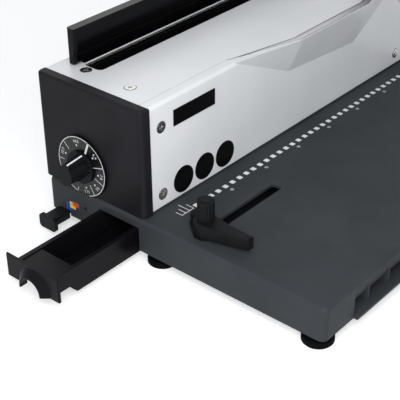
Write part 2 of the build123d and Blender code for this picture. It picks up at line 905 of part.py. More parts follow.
with BuildPart() as channel_floor:
    with BuildSketch(across(-channel_half)):
        with BuildLine():
            Polyline(
                (channel_front_y, housing_top - channel_depth),
                (channel_front_y, housing_top - channel_depth - channel_floor_sheet),
                (rear_inner_y - channel_floor_sheet, housing_top - channel_depth - channel_floor_sheet),
                (rear_inner_y - channel_floor_sheet, housing_top - channel_depth - frame_flange),
                (rear_inner_y, housing_top - channel_depth - frame_flange),
                (rear_inner_y, housing_top - channel_depth),
                close=True,
            )
        make_face()
    extrude(amount=2 * channel_half)
save(channel_floor, "channel_floor")

with BuildPart() as name_plate:
    with BuildSketch(facing(housing_front_y)):
        with BuildLine():
            Polyline(
                (name_plate_left_x, base_top + name_plate_bottom),
                (name_plate_left_x + name_plate_width - name_plate_cut, base_top + name_plate_bottom),
                (name_plate_left_x + name_plate_width, base_top + name_plate_bottom + name_plate_cut),
                (name_plate_left_x + name_plate_width, base_top + name_plate_bottom + name_plate_height),
                (name_plate_left_x + name_plate_cut, base_top + name_plate_bottom + name_plate_height),
                (name_plate_left_x, base_top + name_plate_bottom + name_plate_height - name_plate_cut),
                close=True,
            )
        make_face()
    extrude(amount=name_plate_thickness)
save(name_plate, "name_plate")

with BuildPart() as round_badges:
    with BuildSketch(facing(housing_front_y)):
        for badge in range(3):
            with Locations((badge_first_x + badge * badge_pitch, base_top + badge_height)):
                Circle(badge_radius)
    extrude(amount=badge_thickness)
save(round_badges, "round_badges")


# Punch -----------------------------------------------------------------------------------------

die_screw_places = []
for side in (-1, 1):
    for row in (-1, 1):
        die_screw_places.append((side * post_x, punch_y + row * die_screw_spread / 2))

with BuildPart() as die_plate:
    with BuildSketch(level(die_underside)):
        with Locations((0, punch_y)):
            Rectangle(2 * die_half_length, 2 * die_half_depth)
            with GridLocations(hole_pitch, 1, hole_count, 1):
                Rectangle(punch_hole_side, punch_hole_side, mode=Mode.SUBTRACT)
        with Locations(*die_screw_places):
            Circle(die_screw_radius + hole_clearance, mode=Mode.SUBTRACT)
    extrude(amount=die_thickness)
save(die_plate, "die_plate")

with BuildPart() as guide_spacers:
    with BuildSketch(level(base_top)):
        for side in (-1, 1):
            with Locations((side * (die_half_length - spacer_width / 2), punch_y)):
                Rectangle(spacer_width, 2 * die_half_depth)
        with Locations(*die_screw_places):
            Circle(die_screw_radius + hole_clearance, mode=Mode.SUBTRACT)
    extrude(amount=throat)
save(guide_spacers, "guide_spacers")

with BuildPart() as pin_guide:
    with BuildSketch(level(guide_underside)):
        with Locations((0, punch_y)):
            Rectangle(2 * frame_inner, 2 * die_half_depth)
            with GridLocations(hole_pitch, 1, hole_count, 1):
                Rectangle(punch_hole_side, punch_hole_side, mode=Mode.SUBTRACT)
        with Locations(*die_screw_places):
            Circle(die_screw_radius + hole_clearance, mode=Mode.SUBTRACT)
    extrude(amount=guide_height)
    with BuildSketch(level(guide_top - die_screw_head)):
        with Locations(*die_screw_places):
            Circle(die_screw_head_radius + hole_clearance)
    extrude(amount=die_screw_head, mode=Mode.SUBTRACT)
    with BuildSketch(level(guide_top - post_seat)):
        with Locations((0, punch_y)):
            with GridLocations(2 * post_x, 1, 2, 1):
                Circle(post_radius)
    extrude(amount=post_seat, mode=Mode.SUBTRACT)
save(pin_guide, "pin_guide")

with BuildPart() as die_screws:
    with BuildSketch(level(die_underside)):
        with Locations(*die_screw_places):
            Circle(die_screw_radius)
    extrude(amount=guide_top - die_screw_head - die_underside)
    with BuildSketch(level(guide_top - die_screw_head)):
        with Locations(*die_screw_places):
            Circle(die_screw_head_radius)
            RegularPolygon(die_screw_radius, 6, mode=Mode.SUBTRACT)
    extrude(amount=die_screw_head)
save(die_screws, "die_screws")

# At rest the cam's centre stands above the shaft, and it sinks by the stroke over the full turn.
punch_cam_z = shaft_z + punch_throw * math.sin(half_turn)
bar_top = punch_cam_z - punch_cam_radius - cam_gap
bar_bottom = bar_top - pressure_bar_height
closer_cam_y = shaft_y - closer_throw * math.sin(half_turn)
closer_cam_z = shaft_z - closer_throw * math.cos(half_turn)
cam_relief_z = shaft_z - closer_throw - closer_cam_radius - 2 * moving_gap
post_top = shaft_z - shaft_radius - post_top_gap / 2

with BuildPart() as pressure_bar:
    with BuildSketch(level(bar_bottom)):
        with Locations((0, punch_y)):
            Rectangle(2 * pressure_bar_half, pressure_bar_depth)
            with GridLocations(2 * post_x, 1, 2, 1):
                Circle(post_radius + running_clearance, mode=Mode.SUBTRACT)
    extrude(amount=pressure_bar_height)
    with BuildSketch(level(cam_relief_z)):
        with Locations((0, punch_y)):
            with GridLocations(2 * closer_cam_x, 1, 2, 1):
                Rectangle(closer_cam_width + 2 * cam_relief_side, pressure_bar_depth)
    extrude(amount=pressure_bar_height, mode=Mode.SUBTRACT)
save(pressure_bar, "pressure_bar")

punch_pin_side = punch_hole_side - 2 * punch_pin_clearance
with BuildPart() as punch_pins:
    with BuildSketch(level(guide_underside + pin_tip_inside_guide)):
        with Locations((0, punch_y)):
            with GridLocations(hole_pitch, 1, hole_count, 1):
                Rectangle(punch_pin_side, punch_pin_side)
    extrude(amount=bar_bottom - guide_underside - pin_tip_inside_guide)
save(punch_pins, "punch_pins")

with BuildPart() as guide_posts:
    with BuildSketch(level(guide_top - post_seat)):
        with Locations((0, punch_y)):
            with GridLocations(2 * post_x, 1, 2, 1):
                Circle(post_radius)
    extrude(amount=post_top - guide_top + post_seat)
save(guide_posts, "guide_posts")

spring_bottom = guide_top + spring_wire_radius
spring_height = bar_bottom - guide_top - 2 * spring_wire_radius
with BuildPart() as return_springs:
    for side in (-1, 1):
        spring_origin = (frame_x + side * post_x, frame_y + punch_y, spring_bottom)
        with BuildLine():
            coil = Helix(spring_height / spring_turns, spring_height, spring_radius, center=spring_origin)
        with BuildSketch(Plane(origin=coil @ 0, z_dir=coil % 0)):
            Circle(spring_wire_radius)
        sweep(path=coil, is_frenet=True)
save(return_springs, "return_springs")


# Handle ----------------------------------------------------------------------------------------

lean = math.radians(handle_lean)
arm_tip_y = shaft_y + arm_length * math.sin(lean)
arm_tip_z = shaft_z + arm_length * math.cos(lean)

with BuildPart() as main_shaft:
    with BuildSketch(across(-frame_outer - shaft_end_reach)):
        with Locations((shaft_y, shaft_z)):
            Circle(shaft_radius)
    extrude(amount=frame_outer + shaft_end_reach + arm_outer)
save(main_shaft, "main_shaft")

with BuildPart() as punch_cams:
    for side in (-1, 1):
        with BuildSketch(across(side * punch_cam_x - punch_cam_width / 2)):
            with Locations((punch_y, punch_cam_z)):
                Circle(punch_cam_radius)
            with Locations((shaft_y, shaft_z)):
                Circle(shaft_radius, mode=Mode.SUBTRACT)
        extrude(amount=punch_cam_width)
save(punch_cams, "punch_cams")

with BuildPart() as closer_cams:
    for side in (-1, 1):
        with BuildSketch(across(side * closer_cam_x - closer_cam_width / 2)):
            with Locations((closer_cam_y, closer_cam_z)):
                Circle(closer_cam_radius)
            with Locations((shaft_y, shaft_z)):
                Circle(shaft_radius, mode=Mode.SUBTRACT)
        extrude(amount=closer_cam_width)
save(closer_cams, "closer_cams")

with BuildPart() as handle_arm:
    with BuildSketch(across(arm_inner)):
        with Locations((shaft_y, shaft_z)):
            Circle(arm_width_root / 2)
        with Locations((arm_tip_y, arm_tip_z)):
            Circle(arm_width_tip / 2)
        make_hull()
        with Locations((shaft_y, shaft_z)):
            Circle(shaft_radius, mode=Mode.SUBTRACT)
        with Locations((arm_tip_y, arm_tip_z)):
            Circle(handle_rod_radius, mode=Mode.SUBTRACT)
    extrude(amount=arm_thickness)
    fillet(handle_arm.faces().sort_by(Axis.X)[-1].outer_wire().edges(), arm_edge)
save(handle_arm, "handle_arm")

with BuildPart() as handle_cap:
    with BuildSketch(across(arm_outer)):
        with Locations((shaft_y, shaft_z), (arm_tip_y, arm_tip_z)):
            Circle(arm_cap_radius)
    extrude(amount=arm_cap)
    fillet(handle_cap.faces().filter_by(Axis.X).group_by(Axis.X)[-1].edges(), arm_cap_edge)
save(handle_cap, "handle_cap")

with BuildPart() as handle_rod:
    with BuildSketch(across(arm_outer)):
        with Locations((arm_tip_y, arm_tip_z)):
            Circle(handle_rod_radius)
    extrude(amount=-(arm_thickness + grip_arm_gap + grip_length - grip_end_wall))
save(handle_rod, "handle_rod")

with BuildPart() as handle_grip:
    with BuildSketch(across(arm_inner - grip_arm_gap)):
        with Locations((arm_tip_y, arm_tip_z)):
            Circle(grip_radius)
    extrude(amount=-grip_length)
    fillet(handle_grip.edges(), grip_edge)
    with BuildSketch(across(arm_inner - grip_arm_gap)):
        with Locations((arm_tip_y, arm_tip_z)):
            Circle(handle_rod_radius)
    extrude(amount=-(grip_length - grip_end_wall), mode=Mode.SUBTRACT)
save(handle_grip, "handle_grip")


# Wire closer -----------------------------------------------------------------------------------

jaw_reach = frame_outer - jaw_end_gap
follower_y = closer_cam_y + closer_cam_radius + cam_gap
arm_low = closer_cam_z - closer_arm_drop

with BuildPart() as closer_bar:
    with BuildSketch(across(-jaw_reach)):
        with Locations((jaw_front_y + jaw_front_thickness / 2, jaw_mid_z)):
            Rectangle(jaw_front_thickness, jaw_height)
    extrude(amount=2 * jaw_reach)
    for side in (-1, 1):
        with BuildSketch(across(side * closer_cam_x - closer_arm_width / 2)):
            with BuildLine():
                Polyline(
                    (follower_y, arm_low),
                    (follower_y, jaw_bottom),
                    (jaw_front_y + jaw_bite, jaw_top - jaw_bite),
                    (jaw_front_y + jaw_bite, jaw_bottom + jaw_bite),
                    (follower_y + closer_arm_run, arm_low),
                    close=True,
                )
            make_face()
        extrude(amount=closer_arm_width)
save(closer_bar, "closer_bar")

stop_cam_large = stop_cam_small + anvil_travel
leg_front_y = dial_y + stop_cam_large + stop_cam_gap
leg_back_y = leg_front_y + anvil_leg_depth
leg_low = dial_z - anvil_leg_drop
leg_bend = jaw_bottom - anvil_leg_drop

with BuildPart() as closer_anvil:
    with BuildSketch(across(-jaw_reach)):
        with Locations((jaw_rear_y + jaw_rear_thickness / 2, jaw_mid_z)):
            Rectangle(jaw_rear_thickness, jaw_height)
    extrude(amount=2 * jaw_reach)
    for side in (-1, 1):
        with BuildSketch(across(side * stop_cam_x - anvil_leg_width / 2)):
            with BuildLine():
                Polyline(
                    (leg_front_y, leg_low),
                    (leg_back_y, leg_low),
                    (leg_back_y, leg_bend),
                    (anvil_back_y, jaw_bottom),
                    (anvil_back_y, jaw_top),
                    (jaw_rear_y, jaw_top),
                    (jaw_rear_y, jaw_bottom),
                    (leg_front_y, leg_bend),
                    close=True,
                )
            make_face()
        extrude(amount=anvil_leg_width)
save(closer_anvil, "closer_anvil")


# Dial ------------------------------------------------------------------------------------------

with BuildPart() as dial_plate:
    with BuildSketch(across(-panel_outer)):
        with Locations((dial_y, dial_z)):
            Circle(dial_plate_radius)
            Circle(spindle_radius + spindle_hole_gap, mode=Mode.SUBTRACT)
        with Locations((dial_y, base_top - dial_plate_radius)):
            Rectangle(2 * dial_plate_radius, 2 * dial_plate_radius, mode=Mode.SUBTRACT)
    extrude(amount=-dial_plate_thickness)
save(dial_plate, "dial_plate")

knob_root_x = -panel_outer - dial_plate_thickness - moving_gap
knob_tip_x = knob_root_x - knob_length


def knob_plane(place):
    # Plane across the dial axis with its own Y along the pointer
    turn = math.radians(dial_angle)
    centre = (frame_x + place, frame_y + dial_y, dial_z)
    return Plane(origin=centre, x_dir=(0, math.cos(turn), math.sin(turn)), z_dir=(1, 0, 0))


with BuildPart() as dial_knob:
    with BuildSketch(knob_plane(knob_root_x)):
        Circle(knob_skirt_radius)
    extrude(amount=-knob_skirt)
    with BuildSketch(knob_plane(knob_root_x)):
        Circle(knob_hub_radius)
    extrude(amount=-knob_length)
    with BuildSketch(knob_plane(knob_root_x - knob_skirt)):
        with Locations((0, (knob_root_reach - knob_tail_reach) / 2)):
            Rectangle(knob_root_width, knob_root_reach + knob_tail_reach)
    with BuildSketch(knob_plane(knob_tip_x)):
        with Locations((0, (knob_tip_reach - knob_tail_reach + knob_tail_setback) / 2)):
            Rectangle(knob_tip_width, knob_tip_reach + knob_tail_reach - knob_tail_setback)
    loft()
    with BuildSketch(knob_plane(knob_root_x)):
        Circle(spindle_radius)
    extrude(amount=-(knob_length - knob_cap), mode=Mode.SUBTRACT)
save(dial_knob, "dial_knob")

with BuildPart() as dial_spindle:
    with BuildSketch(across(knob_tip_x + knob_cap)):
        with Locations((dial_y, dial_z)):
            Circle(spindle_radius)
    extrude(amount=frame_outer + shaft_end_reach - knob_tip_x - knob_cap)
save(dial_spindle, "dial_spindle")

# Spiral that gives the anvil its travel evenly over the dial's turn
cam_points = []
for step in range(stop_cam_steps + 1):
    share = step / stop_cam_steps
    spiral_angle = -math.radians(dial_turn) * share
    spiral_radius = stop_cam_large - anvil_travel * share
    cam_points.append((spiral_radius * math.cos(spiral_angle), spiral_radius * math.sin(spiral_angle)))

with BuildPart() as stop_cams:
    for side in (-1, 1):
        cam_plane = Plane(
            origin=(frame_x + side * stop_cam_x - stop_cam_width / 2, frame_y + dial_y, dial_z),
            x_dir=(0, 1, 0),
            z_dir=(1, 0, 0),
        )
        with BuildSketch(cam_plane):
            with BuildLine():
                spiral = Spline(*cam_points)
                Line(spiral @ 1, spiral @ 0)
            make_face()
            Circle(spindle_radius, mode=Mode.SUBTRACT)
        extrude(amount=stop_cam_width)
save(stop_cams, "stop_cams")


# Depth stop and margin slider ------------------------------------------------------------------

stop_front_y = punch_y + paper_margin
stop_bottom = base_top + stop_lift
stop_tail_back_y = slider_pin_y + stop_pin_radius + stop_tail_edge
slider_top = slider_bottom + slider_height
groove_floor = slider_top - slider_groove_depth
groove_half = stop_pin_radius + stop_pin_side_gap

with BuildPart() as depth_stop:
    with BuildSketch(level(stop_bottom)):
        with Locations((0, stop_front_y + stop_blade_depth / 2)):
            Rectangle(2 * stop_half_length, stop_blade_depth)
        with Locations((stop_tail_x, (stop_front_y + stop_tail_back_y) / 2)):
            Rectangle(2 * stop_tail_half, stop_tail_back_y - stop_front_y)
    extrude(amount=stop_sheet)
    with BuildSketch(level(groove_floor + moving_gap)):
        with Locations((stop_tail_x, slider_pin_y)):
            Circle(stop_pin_radius)
    extrude(amount=stop_bottom - groove_floor - moving_gap)
save(depth_stop, "depth_stop")

slider_plate_x = -base_half - slider_out
slider_block_x = slider_plate_x + slider_plate
slider_block_end_x = -base_half - slider_block_gap
block_length = slider_block_end_x - slider_block_x
neck_length = slider_inner_x - slider_block_x
foot_length = slider_inner_x - slider_foot_start_x
groove_length = math.hypot(slider_travel, depth_travel)
groove_slant = math.degrees(math.atan2(depth_travel, slider_travel))

with BuildPart() as margin_slider:
    with BuildSketch(across(slider_block_x)):
        with Locations((slider_y, slider_block_bottom + slider_block_height / 2)):
            RectangleRounded(slider_block_width, slider_block_height, slider_block_edge)
    extrude(amount=block_length)
    with BuildSketch(across(slider_plate_x)):
        with Locations((slider_y, slider_plate_bottom + slider_plate_height / 2)):
            RectangleRounded(slider_plate_width, slider_plate_height, slider_plate_corner)
    extrude(amount=slider_plate)
    with BuildSketch(level(slider_bottom)):
        with Locations((slider_block_x + neck_length / 2, slider_y)):
            Rectangle(neck_length, slider_width)
    extrude(amount=slider_neck)
    with BuildSketch(level(slider_bottom)):
        with Locations((slider_inner_x - foot_length / 2, slider_y)):
            Rectangle(foot_length, slider_width)
    extrude(amount=slider_height)
    with BuildSketch(level(groove_floor)):
        with Locations((stop_tail_x + slider_travel / 2, slider_pin_y - depth_travel / 2)):
            SlotCenterToCenter(groove_length, 2 * groove_half, rotation=-groove_slant)
    extrude(amount=slider_groove_depth, mode=Mode.SUBTRACT)
save(margin_slider, "margin_slider")

channel_half_width = slider_width / 2 + moving_gap
lip_low = slider_top + moving_gap
lip_high = lip_low + slider_channel_wall

# Two rails hang from the base's top; the slider runs between them, on the floor sheet.
with BuildPart() as slider_channel:
    with BuildSketch(across(-base_inner)):
        for side in (-1, 1):
            inner = slider_y + side * channel_half_width
            outer = inner + side * slider_channel_wall
            with BuildLine():
                Polyline(
                    (inner, slider_bottom),
                    (outer, slider_bottom),
                    (outer, base_underside),
                    (inner, base_underside),
                    (inner, lip_high),
                    (inner - side * slider_lip, lip_high),
                    (inner - side * slider_lip, lip_low),
                    (inner, lip_low),
                    close=True,
                )
            make_face()
    extrude(amount=base_inner + slider_channel_end_x)
save(slider_channel, "slider_channel")


# Waste drawer ----------------------------------------------------------------------------------

drawer_width = drawer_rear_y - drawer_front_y
tray_width = drawer_width - 2 * drawer_rim_flange
block_top = drawer_rim_height - drawer_block_drop
block_end_x = drawer_face + drawer_plate + drawer_block
tray_start_x = block_end_x - drawer_wall
tray_length = drawer_length - drawer_plate - drawer_block + drawer_wall
tray_mid_x = tray_start_x + tray_length / 2
plate_width = drawer_plate_rear_y - drawer_plate_front_y
plate_mid_y = (drawer_plate_rear_y + drawer_plate_front_y) / 2
plate_height = drawer_rim_height - drawer_plate_bottom
finger_centre_z = finger_top - finger_radius
collar_radius = finger_radius + finger_collar_wall
collar_align = (Align.CENTER, Align.CENTER, Align.MIN)

with BuildPart() as waste_drawer:
    with BuildSketch(level(drawer_bottom)):
        with Locations((tray_mid_x, drawer_mid_y)):
            Rectangle(tray_length, tray_width)
    extrude(amount=drawer_rim_height - drawer_bottom)
    toe = waste_drawer.faces().sort_by(Axis.X)[0].edges().sort_by(Axis.Z)[0]
    chamfer(toe, drawer_toe)
    with BuildSketch(level(drawer_rim_height - drawer_rim_thickness)):
        with Locations((drawer_face + drawer_length / 2, drawer_mid_y)):
            Rectangle(drawer_length, drawer_width)
    extrude(amount=drawer_rim_thickness)
    with BuildSketch(level(drawer_bottom + drawer_floor)):
        with Locations((tray_mid_x, drawer_mid_y)):
            Rectangle(tray_length - 2 * drawer_wall, tray_width - 2 * drawer_wall)
    extrude(amount=drawer_rim_height - drawer_bottom, mode=Mode.SUBTRACT)
    with BuildSketch(level(block_top)):
        with Locations((drawer_face + (block_end_x - drawer_face) / 2, drawer_mid_y)):
            Rectangle(block_end_x - drawer_face, tray_width - 2 * drawer_wall)
    extrude(amount=drawer_block_drop, mode=Mode.SUBTRACT)
    with BuildSketch(across(drawer_face)):
        with Locations((plate_mid_y, drawer_plate_bottom + plate_height / 2)):
            Rectangle(plate_width, plate_height)
    extrude(amount=drawer_plate)
    fillet(waste_drawer.faces().sort_by(Axis.X)[0].edges().filter_by(Axis.Z), drawer_plate_edge)
    with BuildSketch(level(drawer_block_bottom)):
        with Locations((drawer_face + drawer_plate + drawer_block / 2, drawer_mid_y)):
            Rectangle(drawer_block, tray_width)
    extrude(amount=block_top - drawer_block_bottom)
    with BuildSketch(level(drawer_bottom + drawer_floor)):
        with Locations((block_end_x + drawer_rib_start / 2 + drawer_rib_length / 2, drawer_mid_y)):
            with GridLocations(1, drawer_rib_spacing, 1, 2):
                Rectangle(drawer_rib_length, drawer_rib_width)
    extrude(amount=drawer_rib_height)
    finger_middle = (frame_x + drawer_face, frame_y + finger_y, finger_centre_z)
    with Locations(Plane(origin=finger_middle, z_dir=(-1, 0, 0))):
        Cone(collar_radius + finger_flare, collar_radius, finger_collar, align=collar_align)
    with BuildSketch(across(drawer_face - finger_collar)):
        with Locations((finger_y, drawer_plate_bottom - 2 * collar_radius)):
            Rectangle(4 * collar_radius, 4 * collar_radius)
    extrude(amount=finger_collar, mode=Mode.SUBTRACT)
    with BuildSketch(across(drawer_face - finger_collar)):
        with Locations((finger_y, finger_centre_z)):
            Circle(finger_radius)
        with Locations((finger_y, finger_centre_z - finger_radius)):
            Rectangle(2 * finger_radius, 2 * finger_radius)
    extrude(amount=finger_collar + finger_depth, mode=Mode.SUBTRACT)
save(waste_drawer, "waste_drawer")

rail_top = base_underside
ledge_top = drawer_rim_height - drawer_rim_thickness - moving_gap
for side, hand in ((-1, "front"), (1, "rear")):
    rim_edge = drawer_mid_y + side * drawer_width / 2
    web_inner = rim_edge + side * moving_gap
    web_outer = web_inner + side * rail_web
    ledge_edge = web_inner - side * (drawer_rim_flange - moving_gap)
    with BuildPart() as drawer_rail:
        with BuildSketch(across(-base_inner)):
            with BuildLine():
                Polyline(
                    (web_outer, rail_top),
                    (web_outer, ledge_top - rail_ledge),
                    (ledge_edge, ledge_top - rail_ledge),
                    (ledge_edge, ledge_top),
                    (web_inner, ledge_top),
                    (web_inner, rail_top),
                    close=True,
                )
            make_face()
        extrude(amount=base_inner + rail_inner_x)
    save(drawer_rail, "drawer_rail_" + hand)


# Edge guide ------------------------------------------------------------------------------------

shoe_left_x = guide_slot_left_x + moving_gap
shoe_length = shoe_right_x - shoe_left_x
shoe_mid_x = (shoe_right_x + shoe_left_x) / 2
shoe_half_width = slot_half_width - moving_gap
wing_top = base_underside - moving_gap
guide_plate_bottom = base_top + moving_gap
guide_plate_top = guide_plate_bottom + guide_plate_thickness
lever_bottom = guide_plate_top + moving_gap
lever_top = lever_bottom + lever_height
block_mid_x = -page_half_width - stop_block_width / 2

with BuildPart() as guide_shoe:
    with BuildSketch(level(wing_top - shoe_wing_thickness)):
        with Locations((shoe_mid_x, guide_slot_y)):
            Rectangle(shoe_length, 2 * (shoe_half_width + shoe_wing))
    extrude(amount=shoe_wing_thickness)
    with BuildSketch(level(wing_top)):
        with Locations((shoe_mid_x, guide_slot_y)):
            RectangleRounded(shoe_length, 2 * shoe_half_width, guide_slot_corner)
    extrude(amount=guide_plate_bottom - wing_top)
    with BuildSketch(level(wing_top - shoe_wing_thickness)):
        with Locations((clamp_x, guide_slot_y)):
            Circle(clamp_screw_radius)
    extrude(amount=guide_plate_bottom - wing_top + shoe_wing_thickness, mode=Mode.SUBTRACT)
save(guide_shoe, "guide_shoe")

with BuildPart() as edge_guide:
    with BuildSketch(level(guide_plate_bottom)):
        with Locations((clamp_x, guide_slot_y)):
            Circle(guide_hub_radius)
        with Locations((block_mid_x, stop_block_front_y + stop_block_depth / 2)):
            Rectangle(stop_block_width, stop_block_depth)
        make_hull()
    extrude(amount=guide_plate_thickness)
    with BuildSketch(level(guide_plate_bottom)):
        with Locations((block_mid_x, stop_block_front_y + stop_block_depth / 2)):
            RectangleRounded(stop_block_width, stop_block_depth, stop_block_corner)
    extrude(amount=stop_block_height)
    with BuildSketch(level(guide_plate_top)):
        with Locations((clamp_x, guide_slot_y)):
            Circle(lever_hub_radius + 2 * moving_gap)
    extrude(amount=stop_block_height, mode=Mode.SUBTRACT)
    with BuildSketch(level(guide_plate_bottom)):
        with Locations((clamp_x, guide_slot_y)):
            Circle(clamp_screw_radius)
    extrude(amount=guide_plate_thickness, mode=Mode.SUBTRACT)
save(edge_guide, "edge_guide")

clamp_knob_top = lever_top + clamp_knob_height
with BuildPart() as clamp_lever:
    with BuildSketch(level(lever_bottom)):
        with BuildLine():
            Polyline(
                lever_arm_left_root,
                lever_arm_left_tip,
                lever_arm_right_tip,
                lever_arm_right_root,
                lever_arm_inner_root,
                close=True,
            )
        make_face()
        with Locations((clamp_x, guide_slot_y)):
            Circle(lever_hub_radius)
    extrude(amount=lever_height)
    fillet(clamp_lever.faces().sort_by(Axis.Z)[-1].outer_wire().edges(), lever_edge)
    with BuildSketch(level(lever_bottom)):
        with Locations((clamp_x, guide_slot_y)):
            Circle(clamp_screw_radius + running_clearance)
    extrude(amount=lever_height, mode=Mode.SUBTRACT)
save(clamp_lever, "clamp_lever")

with BuildPart() as clamp_knob:
    with BuildSketch(level(lever_top)):
        with Locations((clamp_x, guide_slot_y)):
            Circle(clamp_knob_radius)
            with PolarLocations(clamp_knob_radius + clamp_flute_radius / 2, clamp_flute_count):
                Circle(clamp_flute_radius, mode=Mode.SUBTRACT)
    extrude(amount=clamp_knob_height)
    with BuildSketch(level(clamp_knob_top)):
        with Locations((clamp_x, guide_slot_y)):
            Circle(clamp_knob_radius - clamp_cap_inset)
    extrude(amount=clamp_cap_height)
save(clamp_knob, "clamp_knob")

# The screw stands fixed in the shoe, and the lever's thread turns on it.
shoe_underside = wing_top - shoe_wing_thickness
with BuildPart() as clamp_screw:
    with BuildSketch(level(shoe_underside)):
        with Locations((clamp_x, guide_slot_y)):
            Circle(clamp_screw_radius)
    extrude(amount=lever_top - moving_gap - shoe_underside)
    with BuildSketch(level(shoe_underside)):
        with Locations((clamp_x, guide_slot_y)):
            Circle(2 * clamp_screw_radius)
    extrude(amount=-shoe_wing_thickness)
save(clamp_screw, "clamp_screw")


# Hinged cover ----------------------------------------------------------------------------------

axis_y = cover_front_y + cover_axis_back
axis_z = housing_top + cover_lift + cover_axis_back
cover_bottom_z = housing_top + cover_lift
cover_rear_y = cover_front_y + cover_thickness
cover_mid_y = (cover_front_y + cover_rear_y) / 2
notch_half = hinge_finger_width / 2 + hinge_notch_gap
notch_reach = hinge_finger_half + 2 * moving_gap
recess_bottom = cover_bottom_z + cover_solid
recess_height = cover_height - cover_solid - cover_rim

with BuildPart() as hinged_cover:
    with BuildSketch(level(cover_bottom_z)):
        with Locations((0, cover_mid_y)):
            Rectangle(2 * cover_half, cover_thickness)
    extrude(amount=cover_height)
    low_edges = hinged_cover.edges().filter_by(Axis.X).group_by(Axis.Z)[0]
    fillet(low_edges.sort_by(Axis.Y)[0], cover_axis_back - cover_round_short)
    fillet(hinged_cover.edges().filter_by(Axis.Z), cover_corner)
    with BuildSketch(facing(cover_front_y)):
        with Locations((0, recess_bottom + recess_height / 2)):
            Rectangle(2 * (cover_half - cover_rim), recess_height)
    extrude(amount=-(cover_thickness - cover_wall), mode=Mode.SUBTRACT)
    for hinge in (-1, 0, 1):
        with BuildSketch(across(hinge * hinge_pitch - notch_half)):
            with Locations((axis_y, axis_z)):
                Circle(notch_reach)
            with Locations((axis_y + cover_thickness / 2, axis_z)):
                Rectangle(cover_thickness, 2 * notch_reach)
            with Locations((axis_y + (cover_thickness - notch_reach) / 2, axis_z - cover_axis_back / 2)):
                Rectangle(cover_thickness + notch_reach, cover_axis_back)
        extrude(amount=2 * notch_half, mode=Mode.SUBTRACT)
        with BuildSketch(across(hinge * hinge_pitch - hinge_pin_length / 2)):
            with Locations((axis_y, axis_z)):
                Circle(hinge_pin_radius)
        extrude(amount=hinge_pin_length, mode=Mode.SUBTRACT)
save(hinged_cover, "hinged_cover")

with BuildPart() as hinge_pins:
    for hinge in (-1, 0, 1):
        with BuildSketch(across(hinge * hinge_pitch - hinge_pin_length / 2)):
            with Locations((axis_y, axis_z)):
                Circle(hinge_pin_radius)
        extrude(amount=hinge_pin_length)
save(hinge_pins, "hinge_pins")

hinge_foot_end = hinge_foot_y + hinge_foot_depth
with BuildPart() as hinge_brackets:
    for hinge in (-1, 0, 1):
        with BuildSketch(level(housing_top)):
            with Locations((hinge * hinge_pitch, hinge_foot_y + hinge_foot_depth / 2)):
                Rectangle(hinge_foot_width, hinge_foot_depth)
        extrude(amount=hinge_foot_sheet)
        with BuildSketch(across(hinge * hinge_pitch - hinge_finger_width / 2)):
            with Locations((axis_y, axis_z)):
                Circle(hinge_finger_half)
            with Locations(((axis_y + hinge_foot_end) / 2, axis_z)):
                Rectangle(hinge_foot_end - axis_y, 2 * hinge_finger_half)
            with Locations((hinge_foot_end - hinge_riser / 2, (housing_top + axis_z) / 2)):
                Rectangle(hinge_riser, axis_z - housing_top)
            with Locations((axis_y, axis_z)):
                Circle(hinge_pin_radius + running_clearance, mode=Mode.SUBTRACT)
        extrude(amount=hinge_finger_width)
save(hinge_brackets, "hinge_brackets")
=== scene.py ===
import json
import math

import bmesh
import bpy
from mathutils import Euler, Matrix, Vector


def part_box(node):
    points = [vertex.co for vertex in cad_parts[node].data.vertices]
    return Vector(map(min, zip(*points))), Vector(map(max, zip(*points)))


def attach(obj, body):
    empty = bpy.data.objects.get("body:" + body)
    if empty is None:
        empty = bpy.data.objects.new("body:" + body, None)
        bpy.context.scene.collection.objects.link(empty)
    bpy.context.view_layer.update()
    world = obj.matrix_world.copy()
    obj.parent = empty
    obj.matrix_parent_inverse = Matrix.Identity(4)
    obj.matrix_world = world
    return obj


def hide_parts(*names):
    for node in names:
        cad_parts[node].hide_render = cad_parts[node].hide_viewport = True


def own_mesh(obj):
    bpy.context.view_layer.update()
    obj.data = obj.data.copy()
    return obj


# Looks of a wire punching and binding machine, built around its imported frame. All in metres.
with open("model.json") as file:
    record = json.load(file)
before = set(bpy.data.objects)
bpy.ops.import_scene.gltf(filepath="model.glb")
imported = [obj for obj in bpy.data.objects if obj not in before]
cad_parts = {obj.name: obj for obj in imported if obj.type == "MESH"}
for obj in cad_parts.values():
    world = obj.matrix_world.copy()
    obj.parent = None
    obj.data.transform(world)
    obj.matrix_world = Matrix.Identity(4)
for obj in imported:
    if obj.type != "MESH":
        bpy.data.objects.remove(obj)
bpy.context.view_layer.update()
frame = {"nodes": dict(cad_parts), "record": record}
MM = 0.001
INK = 0.06 * MM

# Camera: the photograph's own view
CAMERA_PLACE = (-0.59777, -0.4188, 0.45986)
CAMERA_YAW = 0.8568
CAMERA_PITCH = 0.5674
CAMERA_ROLL = 0.0099
FOCAL_PIXELS = 1064.6
FRAME_PIXELS = 400
SENSOR = 36.0

# Printed marks on the base, in front of the housing
HOLE_COUNT = 34
HOLE_PITCH = 25.4 / 3 * MM
MARKS_BEFORE_DIE = 38.0 * MM
HOLE_MARK = 4.1 * MM
PAPER_MARK = 3.0 * MM
PAPER_MARKS_FORWARD = 6.4 * MM
PAPER_MARK_HOLES = (4, 9, 14, 19, 24, 29)
TICK_WIDTH = 0.55 * MM
TICK_START = -1.2 * MM
TICKS = ((-4, 4.8), (-3, 6.2), (-2, 10.2), (-1, 6.0), (0, 3.0))

